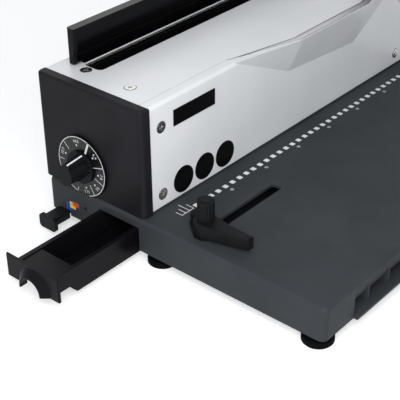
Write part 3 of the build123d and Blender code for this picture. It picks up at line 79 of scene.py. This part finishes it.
# Lamps: name, place, aim, width, height, power. Light on the object from the world, and the floor's own glow
LAMPS = (
    ("key", (-0.42, -0.26, 0.36), (-0.1, 0.03, 0.08), 0.4, 0.4, 2.4),
    ("fill", (0.5, 0.9, 0.8), (0.0, 0.0, 0.06), 0.8, 0.6, 1.2),
)
AMBIENT = 0.45
FLOOR_GLOW = 0.5
FLOOR_REACH = 4.0

# Dial: (degrees clockwise from the top, text), and (degrees, outer radius, inner radius, width)
DIAL_RING = 24.1 * MM
DIAL_RING_WIDTH = 0.55 * MM
DIAL_FLAT = 23.2 * MM
DIAL_NUMBER_RADIUS = 19.2 * MM
DIAL_NUMBER_HEIGHT = 3.6 * MM
DIAL_DOT_RADIUS = 17.2 * MM
DIAL_DOT = 0.75 * MM
DIAL_NUMBERS = ((-12, "14.3"), (-71, "12.7"), (47, "6.4"), (94, "7.9"), (130, "9.5"), (168, "11.1"))
DIAL_TICKS = (
    (-48.0, 24.0, 16.0, 0.45),
    (-90.3, 24.0, 18.2, 0.45),
    (74.0, 24.0, 13.2, 0.55),
    (111.5, 24.0, 14.5, 0.45),
    (149.5, 24.0, 15.3, 0.45),
    (-166.0, 23.2, 19.9, 0.45),
    (21.5, 24.0, 13.4, 1.7),
)
KNOB_ANGLE = 20.0
KNOB_SKIRT = 2.0 * MM
KNOB_ROOT_REACH = 12.9 * MM
KNOB_TIP_REACH = 10.5 * MM
KNOB_LINE_WIDTH = 1.3 * MM

# Sticker on the base's left face, as (Y, Z) corners of each colour, and the small screw hole beside it,
# drawn as a black disc of painted shade
STICKER_BLUE = ((110.5, 13.8), (103.5, 13.8), (103.5, 16.4), (106.7, 16.4), (106.7, 20.6), (110.5, 20.6))
STICKER_YELLOW = ((106.5, 16.6), (100.3, 16.6), (100.3, 19.2), (103.4, 19.2), (103.4, 22.3), (106.5, 22.3))
STICKER_ORANGE = ((103.2, 19.4), (96.7, 19.4), (96.7, 23.2), (103.2, 23.2))
SIDE_HOLE_SHADE = (89.3, 22.2, 1.4)

# Painted shade: a black strip on the top cover along the channel under the lid, and painted shadow rings
# around the screw heads
CHANNEL_SHADE = (-109.0, 116.3, 184.0, 124.0)
SCREW_SHADOW = 0.45 * MM

# Groups of CAD points that belong to one screw or foot, and how near the extreme they lie
SCREW_GROUP = 12 * MM
FOOT_GROUP = 40 * MM
HEAD_DEPTH = 0.02 * MM
TREAD_DEPTH = 0.01 * MM
WELD = 0.001 * MM

# Return springs, drawn at full length as coils that ride on the punch
SPRING_WIRE = 0.55 * MM
SPRING_TURNS = 6


def srgb(red, green, blue):
    # Linear colour of an 8-bit screen colour
    channels = []
    for value in (red, green, blue):
        value = value / 255
        channels.append(value / 12.92 if value <= 0.04045 else ((value + 0.055) / 1.055) ** 2.4)
    return (*channels, 1.0)


# Materials -------------------------------------------------------------------------------------


class Finish:
    """One procedural material: a Principled shader with noises for its colour, roughness and relief."""

    def __init__(self, name, **constants):
        self.material = bpy.data.materials.new(name)
        self.material.use_nodes = True
        self.nodes = self.material.node_tree.nodes
        self.links = self.material.node_tree.links
        self.shader = self.nodes["Principled BSDF"]
        self.place = self.nodes.new("ShaderNodeTexCoord").outputs["Object"]
        self.normal = None
        for socket, value in constants.items():
            self.shader.inputs[socket.replace("_", " ")].default_value = value

    def noise(self, size, detail=2.0, stretch=(1, 1, 1)):
        # Noise with features of about that size; stretch lengthens them along an axis
        mapping = self.nodes.new("ShaderNodeMapping")
        mapping.inputs["Scale"].default_value = [1 / part for part in stretch]
        texture = self.nodes.new("ShaderNodeTexNoise")
        texture.inputs["Scale"].default_value = 1 / size
        texture.inputs["Detail"].default_value = detail
        self.links.new(self.place, mapping.inputs["Vector"])
        self.links.new(mapping.outputs["Vector"], texture.inputs["Vector"])
        return texture.outputs["Fac"]

    def spread(self, value, low, high):
        # The middle of a noise, stretched between two numbers
        ranged = self.nodes.new("ShaderNodeMapRange")
        ranged.inputs["From Min"].default_value = 0.3
        ranged.inputs["From Max"].default_value = 0.7
        ranged.inputs["To Min"].default_value = low
        ranged.inputs["To Max"].default_value = high
        self.links.new(value, ranged.inputs["Value"])
        return ranged.outputs["Result"]

    def colour(self, value, dark, light):
        mix = self.nodes.new("ShaderNodeMix")
        mix.data_type = "RGBA"
        for socket in mix.inputs:
            if socket.name == "A" and socket.type == "RGBA":
                socket.default_value = srgb(*dark)
            if socket.name == "B" and socket.type == "RGBA":
                socket.default_value = srgb(*light)
        self.links.new(self.spread(value, 0.0, 1.0), mix.inputs["Factor"])
        result = [socket for socket in mix.outputs if socket.type == "RGBA"][0]
        self.links.new(result, self.shader.inputs["Base Color"])
        return self

    def roughness(self, value, low, high):
        self.links.new(self.spread(value, low, high), self.shader.inputs["Roughness"])
        return self

    def round_edges(self, radius):
        bevel = self.nodes.new("ShaderNodeBevel")
        bevel.samples = 4
        bevel.inputs["Radius"].default_value = radius
        self.normal = bevel.outputs["Normal"]
        self.links.new(self.normal, self.shader.inputs["Normal"])
        return self

    def relief(self, value, depth):
        bump = self.nodes.new("ShaderNodeBump")
        bump.inputs["Distance"].default_value = depth
        bump.inputs["Strength"].default_value = 1.0
        self.links.new(value, bump.inputs["Height"])
        if self.normal:
            self.links.new(self.normal, bump.inputs["Normal"])
        self.normal = bump.outputs["Normal"]
        self.links.new(self.normal, self.shader.inputs["Normal"])
        return self


def powder_coat(name, dark, light, grain, depth, rough, shine=0.5):
    # Sprayed and baked paint: an even colour with a fine orange peel
    finish = Finish(name, Specular_IOR_Level=shine)
    clouds = finish.noise(45 * MM, 3)
    peel = finish.noise(grain, 2)
    finish.colour(clouds, dark, light).roughness(peel, *rough)
    finish.round_edges(0.5 * MM).relief(peel, depth)
    return finish.material


def moulded(name, dark, light, rough, grain=0.5 * MM, depth=0.012 * MM, shine=0.4):
    # Injection-moulded plastic: slight flow marks and a spark-eroded grain
    finish = Finish(name, Specular_IOR_Level=shine)
    flow = finish.noise(28 * MM, 2, (2.5, 1, 1))
    texture = finish.noise(grain, 1)
    finish.colour(flow, dark, light).roughness(flow, *rough)
    finish.round_edges(0.35 * MM).relief(texture, depth)
    return finish.material


def metal(name, dark, light, rough, stretch=(30, 1, 1)):
    # Plated, ground or drawn metal with fine lines along its length
    finish = Finish(name, Metallic=1.0)
    lines = finish.noise(0.5 * MM, 3, stretch)
    finish.colour(lines, dark, light).roughness(lines, *rough)
    finish.round_edges(0.25 * MM).relief(lines, 0.004 * MM)
    return finish.material


def rubber(name, dark, light, grain, depth):
    finish = Finish(name, Specular_IOR_Level=0.05)
    pores = finish.noise(grain, 3)
    finish.colour(pores, dark, light).roughness(pores, 0.6, 0.8)
    finish.round_edges(0.4 * MM).relief(pores, depth)
    return finish.material


def ink(name, dark, light):
    # Screen-printed ink: slightly uneven cover
    finish = Finish(name, Specular_IOR_Level=0.3)
    cover = finish.noise(0.9 * MM, 2)
    finish.colour(cover, dark, light).roughness(cover, 0.45, 0.65)
    return finish.material


FINISHES = {
    "base_paint": powder_coat(
        "base_paint", (53, 56, 59), (61, 64, 67),
        0.7 * MM, 0.02 * MM, (0.5, 0.65), 0.12,
    ),
    "cover_paint": powder_coat(
        "cover_paint", (236, 238, 240), (242, 243, 245),
        6 * MM, 0.001 * MM, (0.3, 0.34), 0.4,
    ),
    "handle_steel": powder_coat(
        "handle_steel", (14, 15, 17), (20, 21, 23),
        0.8 * MM, 0.02 * MM, (0.4, 0.55), 0.15,
    ),
    "black_steel": powder_coat(
        "black_steel", (7, 7, 8), (12, 12, 14),
        0.6 * MM, 0.008 * MM, (0.4, 0.55), 0.1,
    ),
    "black_screw": powder_coat(
        "black_screw", (14, 14, 16), (22, 22, 24),
        0.4 * MM, 0.006 * MM, (0.35, 0.5), 0.2,
    ),
    "panel_plastic": moulded(
        "panel_plastic", (26, 26, 29), (34, 34, 38),
        (0.42, 0.52), shine=0.08,
    ),
    "black_plastic": moulded(
        "black_plastic", (17, 19, 21), (25, 27, 29),
        (0.35, 0.48), shine=0.07,
    ),
    "drawer_plastic": moulded(
        "drawer_plastic", (13, 13, 16), (20, 20, 23),
        (0.26, 0.36), depth=0.004 * MM, shine=0.07,
    ),
    "cover_plastic": moulded(
        "cover_plastic", (3, 3, 5), (7, 7, 9),
        (0.14, 0.22), depth=0.002 * MM, shine=0.12,
    ),
    "trim_black": moulded(
        "trim_black", (3, 3, 4), (6, 6, 7),
        (0.3, 0.4), depth=0.003 * MM, shine=0.12,
    ),
    "foot_rubber": rubber(
        "foot_rubber", (4, 4, 5), (9, 9, 10),
        0.8 * MM, 0.05 * MM,
    ),
    "grip_rubber": rubber(
        "grip_rubber", (18, 18, 20), (30, 30, 32),
        1.1 * MM, 0.12 * MM,
    ),
    "zinc_steel": metal(
        "zinc_steel", (172, 172, 168), (196, 196, 192),
        (0.28, 0.42),
    ),
    "bush_bronze": metal(
        "bush_bronze", (168, 126, 72), (196, 152, 92),
        (0.35, 0.5), (1, 1, 1),
    ),
    "screw_steel": metal(
        "screw_steel", (176, 176, 174), (204, 204, 202),
        (0.16, 0.28), (1, 1, 1),
    ),
    "rest_steel": metal(
        "rest_steel", (176, 177, 180), (200, 201, 204),
        (0.3, 0.42),
    ),
    "tool_steel": metal(
        "tool_steel", (140, 141, 144), (172, 173, 176),
        (0.22, 0.36),
    ),
    "spring_steel": metal(
        "spring_steel", (120, 121, 124), (160, 161, 164),
        (0.22, 0.36), (1, 1, 1),
    ),
}
WHITE_INK = ink("white_ink", (226, 226, 226), (242, 242, 242))
GREY_INK = ink("grey_ink", (150, 152, 152), (176, 178, 178))
DIAL_FACE = moulded("dial_face", (6, 7, 8), (11, 12, 13), (0.28, 0.36), depth=0.003 * MM, shine=0.3)
BLUE_INK = ink("blue_ink", (30, 72, 170), (46, 92, 196))
YELLOW_INK = ink("yellow_ink", (228, 196, 96), (244, 216, 120))
ORANGE_INK = ink("orange_ink", (206, 70, 30), (226, 92, 40))


def dress_frame():
    # Every CAD node takes the finish of its own material slot
    for part in frame["record"]["subparts"]:
        node = frame["nodes"][part["node"]]
        finish = FINISHES[part["material_slot"]]
        if part["node"] == "dial_plate":
            finish = DIAL_FACE
        for slot in node.material_slots:
            slot.material = finish


# Pieces ----------------------------------------------------------------------------------------


def piece(name, mesh, material, body):
    # Object from a bmesh, riding on a body
    bmesh.ops.recalc_face_normals(mesh, faces=mesh.faces)
    data = bpy.data.meshes.new(name)
    mesh.to_mesh(data)
    mesh.free()
    made = bpy.data.objects.new(name, data)
    bpy.context.scene.collection.objects.link(made)
    made.data.materials.append(material)
    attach(made, body)
    return made


def slab(mesh, outline, place, thickness=INK):
    # Closed flat piece: place(u, v, lift) puts a point of the outline on the object
    low = [mesh.verts.new(place(u, v, 0)) for u, v in outline]
    high = [mesh.verts.new(place(u, v, thickness)) for u, v in outline]
    mesh.faces.new(low[::-1])
    mesh.faces.new(high)
    for index in range(len(outline)):
        after = (index + 1) % len(outline)
        mesh.faces.new((low[index], low[after], high[after], high[index]))


def rounded_square(u, v, side, corner, steps=4):
    outline = []
    reach = side / 2 - corner
    for quarter in range(4):
        centre = math.radians(45 + 90 * quarter)
        sign_u = math.copysign(1, math.cos(centre))
        sign_v = math.copysign(1, math.sin(centre))
        for step in range(steps + 1):
            angle = math.radians(90 * quarter + 90 * step / steps)
            across = u + sign_u * reach + corner * math.cos(angle)
            up = v + sign_v * reach + corner * math.sin(angle)
            outline.append((across, up))
    return outline


def bar(start, end, width):
    # Outline of a straight line with that width
    start, end = Vector(start), Vector(end)
    side = (end - start).normalized() * width / 2
    side = Vector((-side.y, side.x))
    return [start + side, start - side, end - side, end + side]


def disc(u, v, radius, steps=20):
    turns = [2 * math.pi * step / steps for step in range(steps)]
    return [(u + radius * math.cos(turn), v + radius * math.sin(turn)) for turn in turns]


base_low, base_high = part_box("base_shell")
die_low, die_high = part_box("die_plate")
marks_x = (die_low[0] + die_high[0]) / 2 - (HOLE_COUNT - 1) / 2 * HOLE_PITCH
marks_y = (die_low[1] + die_high[1]) / 2 - MARKS_BEFORE_DIE


def on_base(u, v, lift):
    # Place on the base's top, from the first hole mark
    return Vector((marks_x + u, marks_y + v, base_high[2] + lift))


def make_hole_marks():
    mesh = bmesh.new()
    for hole in range(HOLE_COUNT):
        slab(mesh, rounded_square(hole * HOLE_PITCH, 0, HOLE_MARK, 0.5 * MM), on_base)
    piece("hole_marks", mesh, WHITE_INK, "housing")


def make_paper_marks():
    mesh = bmesh.new()
    for hole in PAPER_MARK_HOLES:
        slab(mesh, rounded_square(hole * HOLE_PITCH, -PAPER_MARKS_FORWARD, PAPER_MARK, 1.0 * MM), on_base)
    piece("paper_marks", mesh, GREY_INK, "housing")


def make_margin_scale():
    mesh = bmesh.new()
    first = TICKS[0][0] * HOLE_PITCH / 2
    slab(mesh, bar((first - TICK_WIDTH / 2, TICK_START), (-HOLE_MARK, TICK_START), TICK_WIDTH), on_base)
    for half_pitch, reach in TICKS[:-1]:
        along = half_pitch * HOLE_PITCH / 2
        slab(mesh, bar((along, TICK_START + TICK_WIDTH / 2), (along, reach * MM), TICK_WIDTH), on_base)
    piece("margin_scale", mesh, WHITE_INK, "housing")


spindle_low, spindle_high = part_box("dial_spindle")
dial_y = (spindle_low[1] + spindle_high[1]) / 2
dial_z = (spindle_low[2] + spindle_high[2]) / 2
dial_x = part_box("dial_plate")[0][0]


def on_dial(u, v, lift):
    # Place on the dial's face from its centre: u to the right and v up, as the user sees it
    return Vector((dial_x - lift, dial_y - u, dial_z + v))


def around(degrees, radius):
    turn = math.radians(degrees)
    return (radius * math.sin(turn), radius * math.cos(turn))


def make_dial_scale():
    mesh = bmesh.new()
    open_half = math.degrees(math.acos(DIAL_FLAT / DIAL_RING))
    steps = 72
    span = 360 - 2 * open_half
    inner = DIAL_RING - DIAL_RING_WIDTH
    for step in range(steps):
        start = -180 + open_half + span * step / steps
        end = start + span / steps
        ends = ((start, inner), (start, DIAL_RING), (end, DIAL_RING), (end, inner))
        slab(mesh, [around(*point) for point in ends], on_dial)
    for degrees, outer, inner_end, width in DIAL_TICKS:
        slab(mesh, bar(around(degrees, outer * MM), around(degrees, inner_end * MM), width * MM), on_dial)
    for degrees, _ in DIAL_NUMBERS:
        slab(mesh, disc(*around(degrees, DIAL_DOT_RADIUS), DIAL_DOT), on_dial)
    bmesh.ops.remove_doubles(mesh, verts=mesh.verts, dist=WELD)
    piece("dial_scale", mesh, WHITE_INK, "housing")


def make_dial_numbers():
    for order, (degrees, text) in enumerate(DIAL_NUMBERS):
        curve = bpy.data.curves.new("dial_number", "FONT")
        curve.body = text
        curve.size = DIAL_NUMBER_HEIGHT
        curve.align_x = "CENTER"
        curve.extrude = INK / 2
        holder = bpy.data.objects.new("dial_number", curve)
        bpy.context.scene.collection.objects.link(holder)
        bpy.context.view_layer.update()
        data = bpy.data.meshes.new_from_object(holder.evaluated_get(bpy.context.evaluated_depsgraph_get()))
        bpy.data.objects.remove(holder)
        mesh = bmesh.new()
        mesh.from_mesh(data)
        turn = math.radians(degrees)
        for vert in mesh.verts:
            along, out, lift = vert.co
            out += DIAL_NUMBER_RADIUS
            u = out * math.sin(turn) + along * math.cos(turn)
            v = out * math.cos(turn) - along * math.sin(turn)
            vert.co = on_dial(u, v, lift + INK / 2)
        piece("dial_number_" + str(order + 1), mesh, WHITE_INK, "housing")


def make_knob_line():
    # White line along the pointer's back, from the dial to the knob's end
    knob_low, knob_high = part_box("dial_knob")
    root_x = knob_high[0] - KNOB_SKIRT
    turn = math.radians(KNOB_ANGLE)
    run = root_x - knob_low[0]
    fall = KNOB_ROOT_REACH - KNOB_TIP_REACH

    def on_pointer(u, v, lift):
        # u runs outwards from the dial, v is across the pointer
        reach = KNOB_ROOT_REACH - fall * u / run + lift
        along_y = dial_y - reach * math.sin(turn) + v * math.cos(turn)
        up = dial_z + reach * math.cos(turn) + v * math.sin(turn)
        return Vector((root_x - u, along_y, up))

    mesh = bmesh.new()
    slab(mesh, bar((0.4 * MM, 0), (run - 0.3 * MM, 0), KNOB_LINE_WIDTH), on_pointer)
    piece("knob_line", mesh, WHITE_INK, "dial")


def lathe(mesh, centre, profile, steps=64):
    # Closed turned solid about an upright axis
    rings = []
    for radius, height in profile:
        ring = []
        for step in range(steps):
            turn = 2 * math.pi * step / steps
            offset = Vector((radius * math.cos(turn), radius * math.sin(turn), height))
            ring.append(mesh.verts.new(centre + offset))
        rings.append(ring)
    for lower, upper in zip(rings, rings[1:]):
        for step in range(steps):
            after = (step + 1) % steps
            mesh.faces.new((lower[step], lower[after], upper[after], upper[step]))
    mesh.faces.new(rings[0][::-1])
    mesh.faces.new(rings[-1])


def on_side(u, v, lift):
    # Place on the base's left face: u along Y and v up
    return Vector((base_low[0] - lift, u, v))


def make_sticker():
    for name, outline, finish in (
        ("sticker_blue", STICKER_BLUE, BLUE_INK),
        ("sticker_yellow", STICKER_YELLOW, YELLOW_INK),
        ("sticker_orange", STICKER_ORANGE, ORANGE_INK),
    ):
        mesh = bmesh.new()
        slab(mesh, [(u * MM, v * MM) for u, v in outline], on_side)
        piece(name, mesh, finish, "housing")
    # Painted shade: a black disc stands for the dark inside of the screw hole
    mesh = bmesh.new()
    slab(mesh, disc(SIDE_HOLE_SHADE[0] * MM, SIDE_HOLE_SHADE[1] * MM, SIDE_HOLE_SHADE[2] * MM), on_side)
    piece("side_hole_shade", mesh, FINISHES["trim_black"], "housing")


def make_channel_shade():
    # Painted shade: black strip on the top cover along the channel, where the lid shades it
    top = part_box("top_cover")[1][2]
    left, front, right, back = [value * MM for value in CHANNEL_SHADE]
    mesh = bmesh.new()
    slab(mesh, [(left, front), (right, front), (right, back), (left, back)],
         lambda u, v, lift: Vector((u, v, top + lift)))
    piece("channel_shade", mesh, FINISHES["trim_black"], "housing")


def make_name_plate():
    # Square-cornered plate with a bevelled rim, in the box of the solid it stands for
    low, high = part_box("name_plate")
    mesh = bmesh.new()
    slab(mesh, [(low[0], low[2]), (high[0], low[2]), (high[0], high[2]), (low[0], high[2])],
         lambda u, v, lift: Vector((u, high[1] - lift, v)), high[1] - low[1])
    bmesh.ops.bevel(mesh, geom=mesh.edges[:], offset=0.2 * MM, segments=2, affect="EDGES")
    plate = piece("plain_plate", mesh, FINISHES["trim_black"], "housing")
    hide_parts("name_plate")


def clusters(points, reach):
    # Centres and half widths of the separate groups of points
    groups = []
    for point in points:
        for group in groups:
            if (group[0] - point).length < reach:
                group.append(point.copy())
                break
        else:
            groups.append([point.copy()])
    found = []
    for group in groups:
        low = Vector([min(co[axis] for co in group) for axis in range(3)])
        high = Vector([max(co[axis] for co in group) for axis in range(3)])
        found.append(((low + high) / 2, max(high - low) / 2))
    return found


def make_screw_shadows():
    # Painted shadow: a dark ring around each cover screw's head, on the sheet it clamps
    screws = frame["nodes"]["cover_screws"].data.vertices
    screw_low, screw_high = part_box("cover_screws")
    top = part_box("top_cover")[1][2]
    front = screw_low[1] + screw_high[2] - top
    on_top = [vert.co for vert in screws if vert.co.z > screw_high[2] - HEAD_DEPTH]
    on_front = [vert.co for vert in screws if vert.co.y < screw_low[1] + HEAD_DEPTH]
    mesh = bmesh.new()
    for centre, radius in clusters(on_top, SCREW_GROUP):
        ring(mesh, centre.x, centre.y, radius, lambda u, v, lift: Vector((u, v, top + lift)))
    for centre, radius in clusters(on_front, SCREW_GROUP):
        ring(mesh, centre.x, centre.z, radius, lambda u, v, lift: Vector((u, front - lift, v)))
    piece("screw_shadows", mesh, FINISHES["trim_black"], "housing")


def ring(mesh, u, v, radius, place, steps=32):
    # Painted shadow ring: black, one screw shadow width wide
    # Flat ring that starts at the radius
    for step in range(steps):
        start, end = 360 * step / steps, 360 * (step + 1) / steps
        outer = radius + SCREW_SHADOW
        outline = []
        for degrees, reach in ((start, radius), (start, outer), (end, outer), (end, radius)):
            along, up = around(degrees, reach)
            outline.append((u + along, v + up))
        slab(mesh, outline, place)
    bmesh.ops.remove_doubles(mesh, verts=mesh.verts, dist=WELD)


def make_springs():
    # Coils in the box of the solids they stand for, held at the pressure bar as the punch goes down
    low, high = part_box("return_springs")
    radius = (high[1] - low[1]) / 2 - SPRING_WIRE
    middle_y = (low[1] + high[1]) / 2
    bottom, top = low[2] + SPRING_WIRE, high[2] - SPRING_WIRE
    steps, sides = 32 * SPRING_TURNS, 8
    mesh = bmesh.new()
    for middle_x in (low[0] + radius + SPRING_WIRE, high[0] - radius - SPRING_WIRE):
        rings = []
        for step in range(steps + 1):
            turn = 2 * math.pi * SPRING_TURNS * step / steps
            outward = Vector((math.cos(turn), math.sin(turn), 0))
            centre = Vector((middle_x, middle_y, bottom + (top - bottom) * step / steps)) + radius * outward
            section = []
            for side in range(sides):
                angle = 2 * math.pi * side / sides
                offset = math.cos(angle) * outward + math.sin(angle) * Vector((0, 0, 1))
                section.append(mesh.verts.new(centre + SPRING_WIRE * offset))
            rings.append(section)
        for near, far in zip(rings, rings[1:]):
            for side in range(sides):
                after = (side + 1) % sides
                mesh.faces.new((near[side], near[after], far[after], far[side]))
        mesh.faces.new(rings[0][::-1])
        mesh.faces.new(rings[-1])
    springs = piece("coil_springs", mesh, FINISHES["spring_steel"], "punch")
    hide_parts("return_springs")
    smooth(springs, 50)
    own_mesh(springs)


FOOT_PROFILE = (
    (9.6, 0.0), (10.8, 0.25), (11.4, 1.0), (11.45, 1.9), (11.1, 2.2), (11.1, 2.5), (11.45, 2.8),
    (11.45, 4.2), (11.1, 4.9), (10.3, 5.4), (8.2, 5.5), (8.0, 6.0), (8.0, 9.0),
)


def make_feet():
    # Turned rubber feet with a groove around the tread
    shown = frame["nodes"]["rubber_feet"]
    mesh = bmesh.new()
    for corner in foot_centres(shown):
        lathe(mesh, corner, [(radius * MM, height * MM) for radius, height in FOOT_PROFILE])
    feet = piece("feet", mesh, FINISHES["foot_rubber"], "housing")
    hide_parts("rubber_feet")
    smooth(feet, 40)


def foot_centres(node):
    # Centres of the separate feet, from the vertices that rest on the table
    resting = [vert.co for vert in node.data.vertices if vert.co.z <= TREAD_DEPTH]
    return [centre for centre, radius in clusters(resting, FOOT_GROUP)]


def smooth(made, degrees):
    # Smooth shading that keeps edges sharper than the angle
    for face in made.data.polygons:
        face.use_smooth = True
    bpy.context.view_layer.objects.active = made
    made.data.set_sharp_from_angle(angle=math.radians(degrees))


# Stage -----------------------------------------------------------------------------------------


def make_camera():
    data = bpy.data.cameras.new("camera")
    data.sensor_width = SENSOR
    data.lens = FOCAL_PIXELS / FRAME_PIXELS * SENSOR
    data.clip_start = 0.01
    camera = bpy.data.objects.new("camera", data)
    heading = Euler((math.pi / 2 - CAMERA_PITCH, 0, -CAMERA_YAW)).to_matrix()
    turned = heading @ Matrix.Rotation(-CAMERA_ROLL, 3, "Z")
    camera.matrix_world = Matrix.Translation(CAMERA_PLACE) @ turned.to_4x4()
    bpy.context.scene.collection.objects.link(camera)
    bpy.context.scene.camera = camera


def softbox(name, place, aim, width, height, power):
    data = bpy.data.lights.new(name, "AREA")
    data.shape = "RECTANGLE"
    data.size = width
    data.size_y = height
    data.energy = power
    lamp = bpy.data.objects.new(name, data)
    lamp.location = place
    lamp.rotation_euler = (Vector(aim) - Vector(place)).to_track_quat("-Z", "Y").to_euler()
    lamp.visible_camera = False
    bpy.context.scene.collection.objects.link(lamp)


def make_lights():
    for lamp in LAMPS:
        softbox(*lamp)


def white_for(nodes, links):
    # 1 for rays from the camera, from gloss and through glass, 0 for the light on the object
    path = nodes.new("ShaderNodeLightPath")
    total = path.outputs["Is Camera Ray"]
    for ray in ("Is Glossy Ray", "Is Transmission Ray"):
        most = nodes.new("ShaderNodeMath")
        most.operation = "MAXIMUM"
        links.new(total, most.inputs[0])
        links.new(path.outputs[ray], most.inputs[1])
        total = most.outputs["Value"]
    return total


def make_world():
    world = bpy.data.worlds.new("studio")
    world.use_nodes = True
    bpy.context.scene.world = world
    nodes, links = world.node_tree.nodes, world.node_tree.links
    nodes.clear()
    seen = nodes.new("ShaderNodeBackground")
    seen.inputs["Color"].default_value = (1, 1, 1, 1)
    ambient = nodes.new("ShaderNodeBackground")
    ambient.inputs["Color"].default_value = srgb(240, 243, 247)
    ambient.inputs["Strength"].default_value = AMBIENT
    mix = nodes.new("ShaderNodeMixShader")
    output = nodes.new("ShaderNodeOutputWorld")
    links.new(white_for(nodes, links), mix.inputs["Fac"])
    links.new(ambient.outputs[0], mix.inputs[1])
    links.new(seen.outputs[0], mix.inputs[2])
    links.new(mix.outputs[0], output.inputs["Surface"])


def make_floor():
    mesh = bmesh.new()
    signs = ((-1, -1), (1, -1), (1, 1), (-1, 1))
    mesh.faces.new([mesh.verts.new((x * FLOOR_REACH, y * FLOOR_REACH, 0)) for x, y in signs])
    data = bpy.data.meshes.new("floor")
    mesh.to_mesh(data)
    mesh.free()
    floor = bpy.data.objects.new("floor", data)
    bpy.context.scene.collection.objects.link(floor)
    paper = bpy.data.materials.new("floor_paper")
    paper.use_nodes = True
    nodes, links = paper.node_tree.nodes, paper.node_tree.links
    shader = nodes["Principled BSDF"]
    shader.inputs["Base Color"].default_value = srgb(232, 232, 232)
    shader.inputs["Roughness"].default_value = 0.9
    shader.inputs["Specular IOR Level"].default_value = 0.1
    shader.inputs["Emission Color"].default_value = (1, 1, 1, 1)
    glow = nodes.new("ShaderNodeMath")
    glow.operation = "MULTIPLY"
    glow.inputs[1].default_value = FLOOR_GLOW
    links.new(white_for(nodes, links), glow.inputs[0])
    links.new(glow.outputs["Value"], shader.inputs["Emission Strength"])
    data.materials.append(paper)


make_camera()
make_lights()
make_world()
make_floor()
dress_frame()
make_hole_marks()
make_paper_marks()
make_margin_scale()
make_dial_scale()
make_dial_numbers()
make_knob_line()
make_sticker()
make_channel_shade()
make_name_plate()
make_screw_shadows()
make_springs()
make_feet()

bpy.context.scene.view_settings.view_transform = "Standard"
